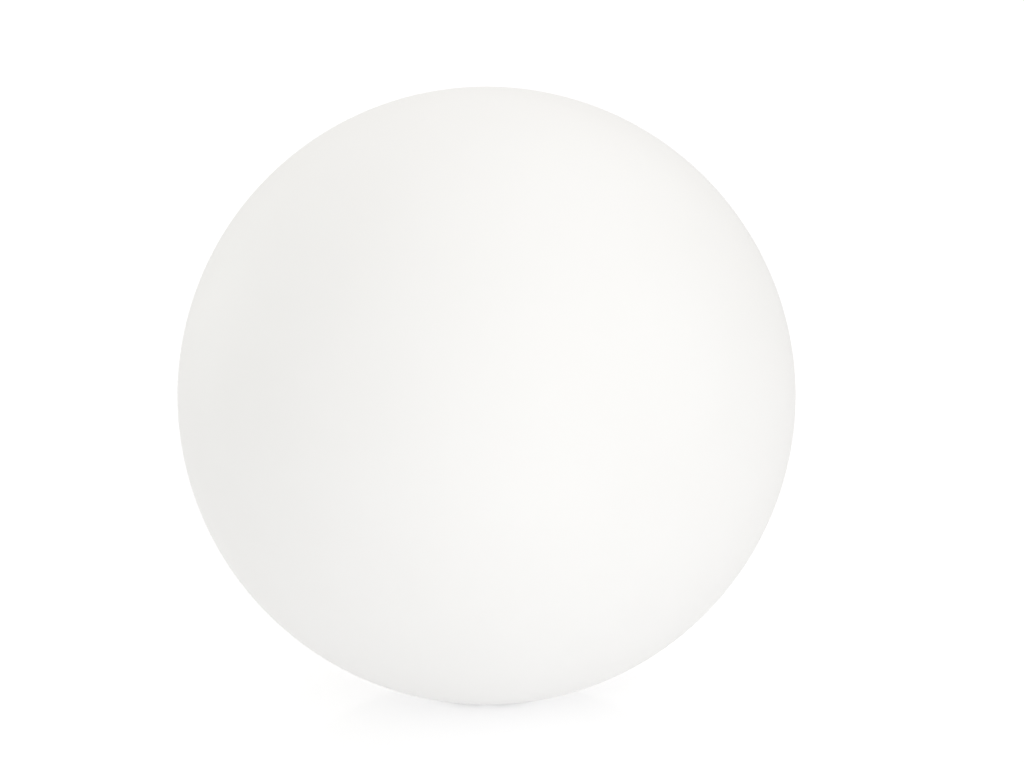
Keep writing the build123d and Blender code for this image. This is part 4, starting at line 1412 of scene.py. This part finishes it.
@dataclass
class Studio:
    """A white sweep, a large soft box to the right, a pale surround and the camera."""

    target: Point = (0.0, 0.0, 0.19764518)
    distance: float = 2.4
    elevation: float = math.radians(10.8)
    focal: float = 129.97
    target_left: float = 25.5  # pixels that the globe's centre stands left of the frame's middle
    target_down: float = 14.05  # and below it
    view_span: Span = (0.05, 60.0)  # nearest and furthest that the camera sees
    floor_radius: float = 9.0
    floor_sides: int = 128
    floor_white: float = 0.58
    floor_dark: float = 0.985  # share of the white in its darker clouds
    floor_drift: float = 0.4
    floor_tint: Colour = (1.0, 1.0, 1.012)
    floor_glow: float = 0.424
    floor_roughness: float = 0.02
    floor_index: float = 1.45
    surround: Colour = (0.409, 0.409, 0.393)
    glows: tuple[Glow, ...] = (
        Glow(20.0, 15.0, (1.310, 1.312, 1.326), 4.0),
        Glow(180.0, 12.0, (0.147, 0.147, 0.147), 16.0),
        Glow(180.0, 60.0, (0.747, 0.727, 0.733), 2.5),
        Glow(235.0, -5.0, (2.645, 2.695, 2.589), 16.0),
    )
    box: StudioLight = StudioLight(48.0, 5.0, (1.0, 1.0, 1.041))
    box_distance: float = 1.6
    box_size: float = 1.3
    box_power: float = 0.650

    def floor(self) -> None:
        """Lay the floor, a pale round sheet that shines a little and gives back light."""
        shape = bmesh.new()
        bmesh.ops.create_circle(shape, cap_ends=True, segments=self.floor_sides, radius=self.floor_radius)
        sheet = new_piece("floor", take_mesh("floor", shape))
        paint = Paint("floor_finish")
        low, high = self.floor_white * self.floor_dark, self.floor_white
        paint.set(Base_Color=paint.blend(paint.cloud(self.floor_drift), (low,) * 3, (high,) * 3))
        paint.set(Roughness=self.floor_roughness, IOR=self.floor_index)
        paint.set(Emission_Color=(*self.floor_tint, 1.0), Emission_Strength=self.floor_glow)
        sheet.data.materials.append(paint.material)

    def glow_light(self, sheet: NodeSheet, way: Socket, glow: Glow) -> Socket:
        """Add the nodes of one glow.

        Args:
            sheet: the world's nodes.
            way: the direction that light comes from.
            glow: the patch.

        Returns:
            Its light in that direction.
        """
        near = sheet.node("ShaderNodeVectorMath", {0: way, 1: glow.direction()}, operation="DOT_PRODUCT")
        fall = sheet.sum("MULTIPLY", sheet.sum("SUBTRACT", near.outputs["Value"], 1.0), glow.focus)
        shade = {0: glow.colour, "Scale": sheet.sum("EXPONENT", fall)}
        return sheet.node("ShaderNodeVectorMath", shade, operation="SCALE").outputs[0]

    def light(self) -> None:
        """Set the surround, which is plain white where the camera sees it, and the soft box."""
        world = bpy.data.worlds.new("surround")
        bpy.context.scene.world = world
        world.use_nodes = True
        world.node_tree.nodes.clear()
        sheet = NodeSheet(world.node_tree)
        way = sheet.node("ShaderNodeTexCoord").outputs["Generated"]
        total = sheet.node("ShaderNodeCombineXYZ", dict(zip("XYZ", self.surround))).outputs[0]
        for glow in self.glows:
            patch = self.glow_light(sheet, way, glow)
            total = sheet.node("ShaderNodeVectorMath", {0: total, 1: patch}, operation="ADD").outputs[0]
        lit = sheet.node("ShaderNodeBackground", {"Color": total, "Strength": 1.0})
        seen = sheet.node("ShaderNodeBackground", {"Color": (1.0, 1.0, 1.0, 1.0), "Strength": 1.0})
        ray = sheet.node("ShaderNodeLightPath").outputs["Is Camera Ray"]
        mixed = sheet.node("ShaderNodeMixShader", {0: ray, 1: lit.outputs[0], 2: seen.outputs[0]})
        sheet.node("ShaderNodeOutputWorld", {"Surface": mixed.outputs[0]})
        self.soft_box()

    def soft_box(self) -> None:
        """Hang the soft box, which lights and reflects but stays out of the picture."""
        lamp = bpy.data.lights.new("soft_box", "AREA")
        lamp.shape, lamp.size, lamp.size_y = "RECTANGLE", self.box_size, self.box_size
        lamp.energy, lamp.color = self.box_power, self.box.colour
        box = bpy.data.objects.new("soft_box", lamp)
        bpy.context.scene.collection.objects.link(box)
        away = self.box.direction()
        box.location = Vector(self.target) + away * self.box_distance
        box.rotation_mode = "QUATERNION"
        box.rotation_quaternion = away.to_track_quat("Z", "Y")
        box.visible_camera = False

    def camera(self) -> None:
        """Set the camera at the photograph's angle, framed as it is there."""
        lens = bpy.data.cameras.new("camera")
        lens.sensor_width, lens.lens = SENSOR_WIDTH, self.focal
        lens.shift_x, lens.shift_y = self.target_left / FRAME_WIDTH, self.target_down / FRAME_WIDTH
        lens.clip_start, lens.clip_end = self.view_span
        eye = bpy.data.objects.new("camera", lens)
        bpy.context.scene.collection.objects.link(eye)
        back = Vector((0.0, -math.cos(self.elevation), math.sin(self.elevation)))
        eye.location = Vector(self.target) + back * self.distance
        eye.rotation_mode = "QUATERNION"
        eye.rotation_quaternion = back.to_track_quat("Z", "Y")
        bpy.context.scene.camera = eye

    def build(self) -> None:
        """Set up the whole studio with plain colour handling."""
        self.floor()
        self.light()
        self.camera()
        bpy.context.scene.view_settings.view_transform = "Standard"


def main() -> None:
    """Build the studio and every sub-assembly, in order."""
    logging.basicConfig(level=logging.INFO, format="%(message)s")
    Studio().build()
    shop = Workshop()
    for assembly in (GlobeShell, Base, LightTower, LampHead, PowerButton, ChargePort):
        assembly(shop).build()


if __name__ == "__main__":
    main()
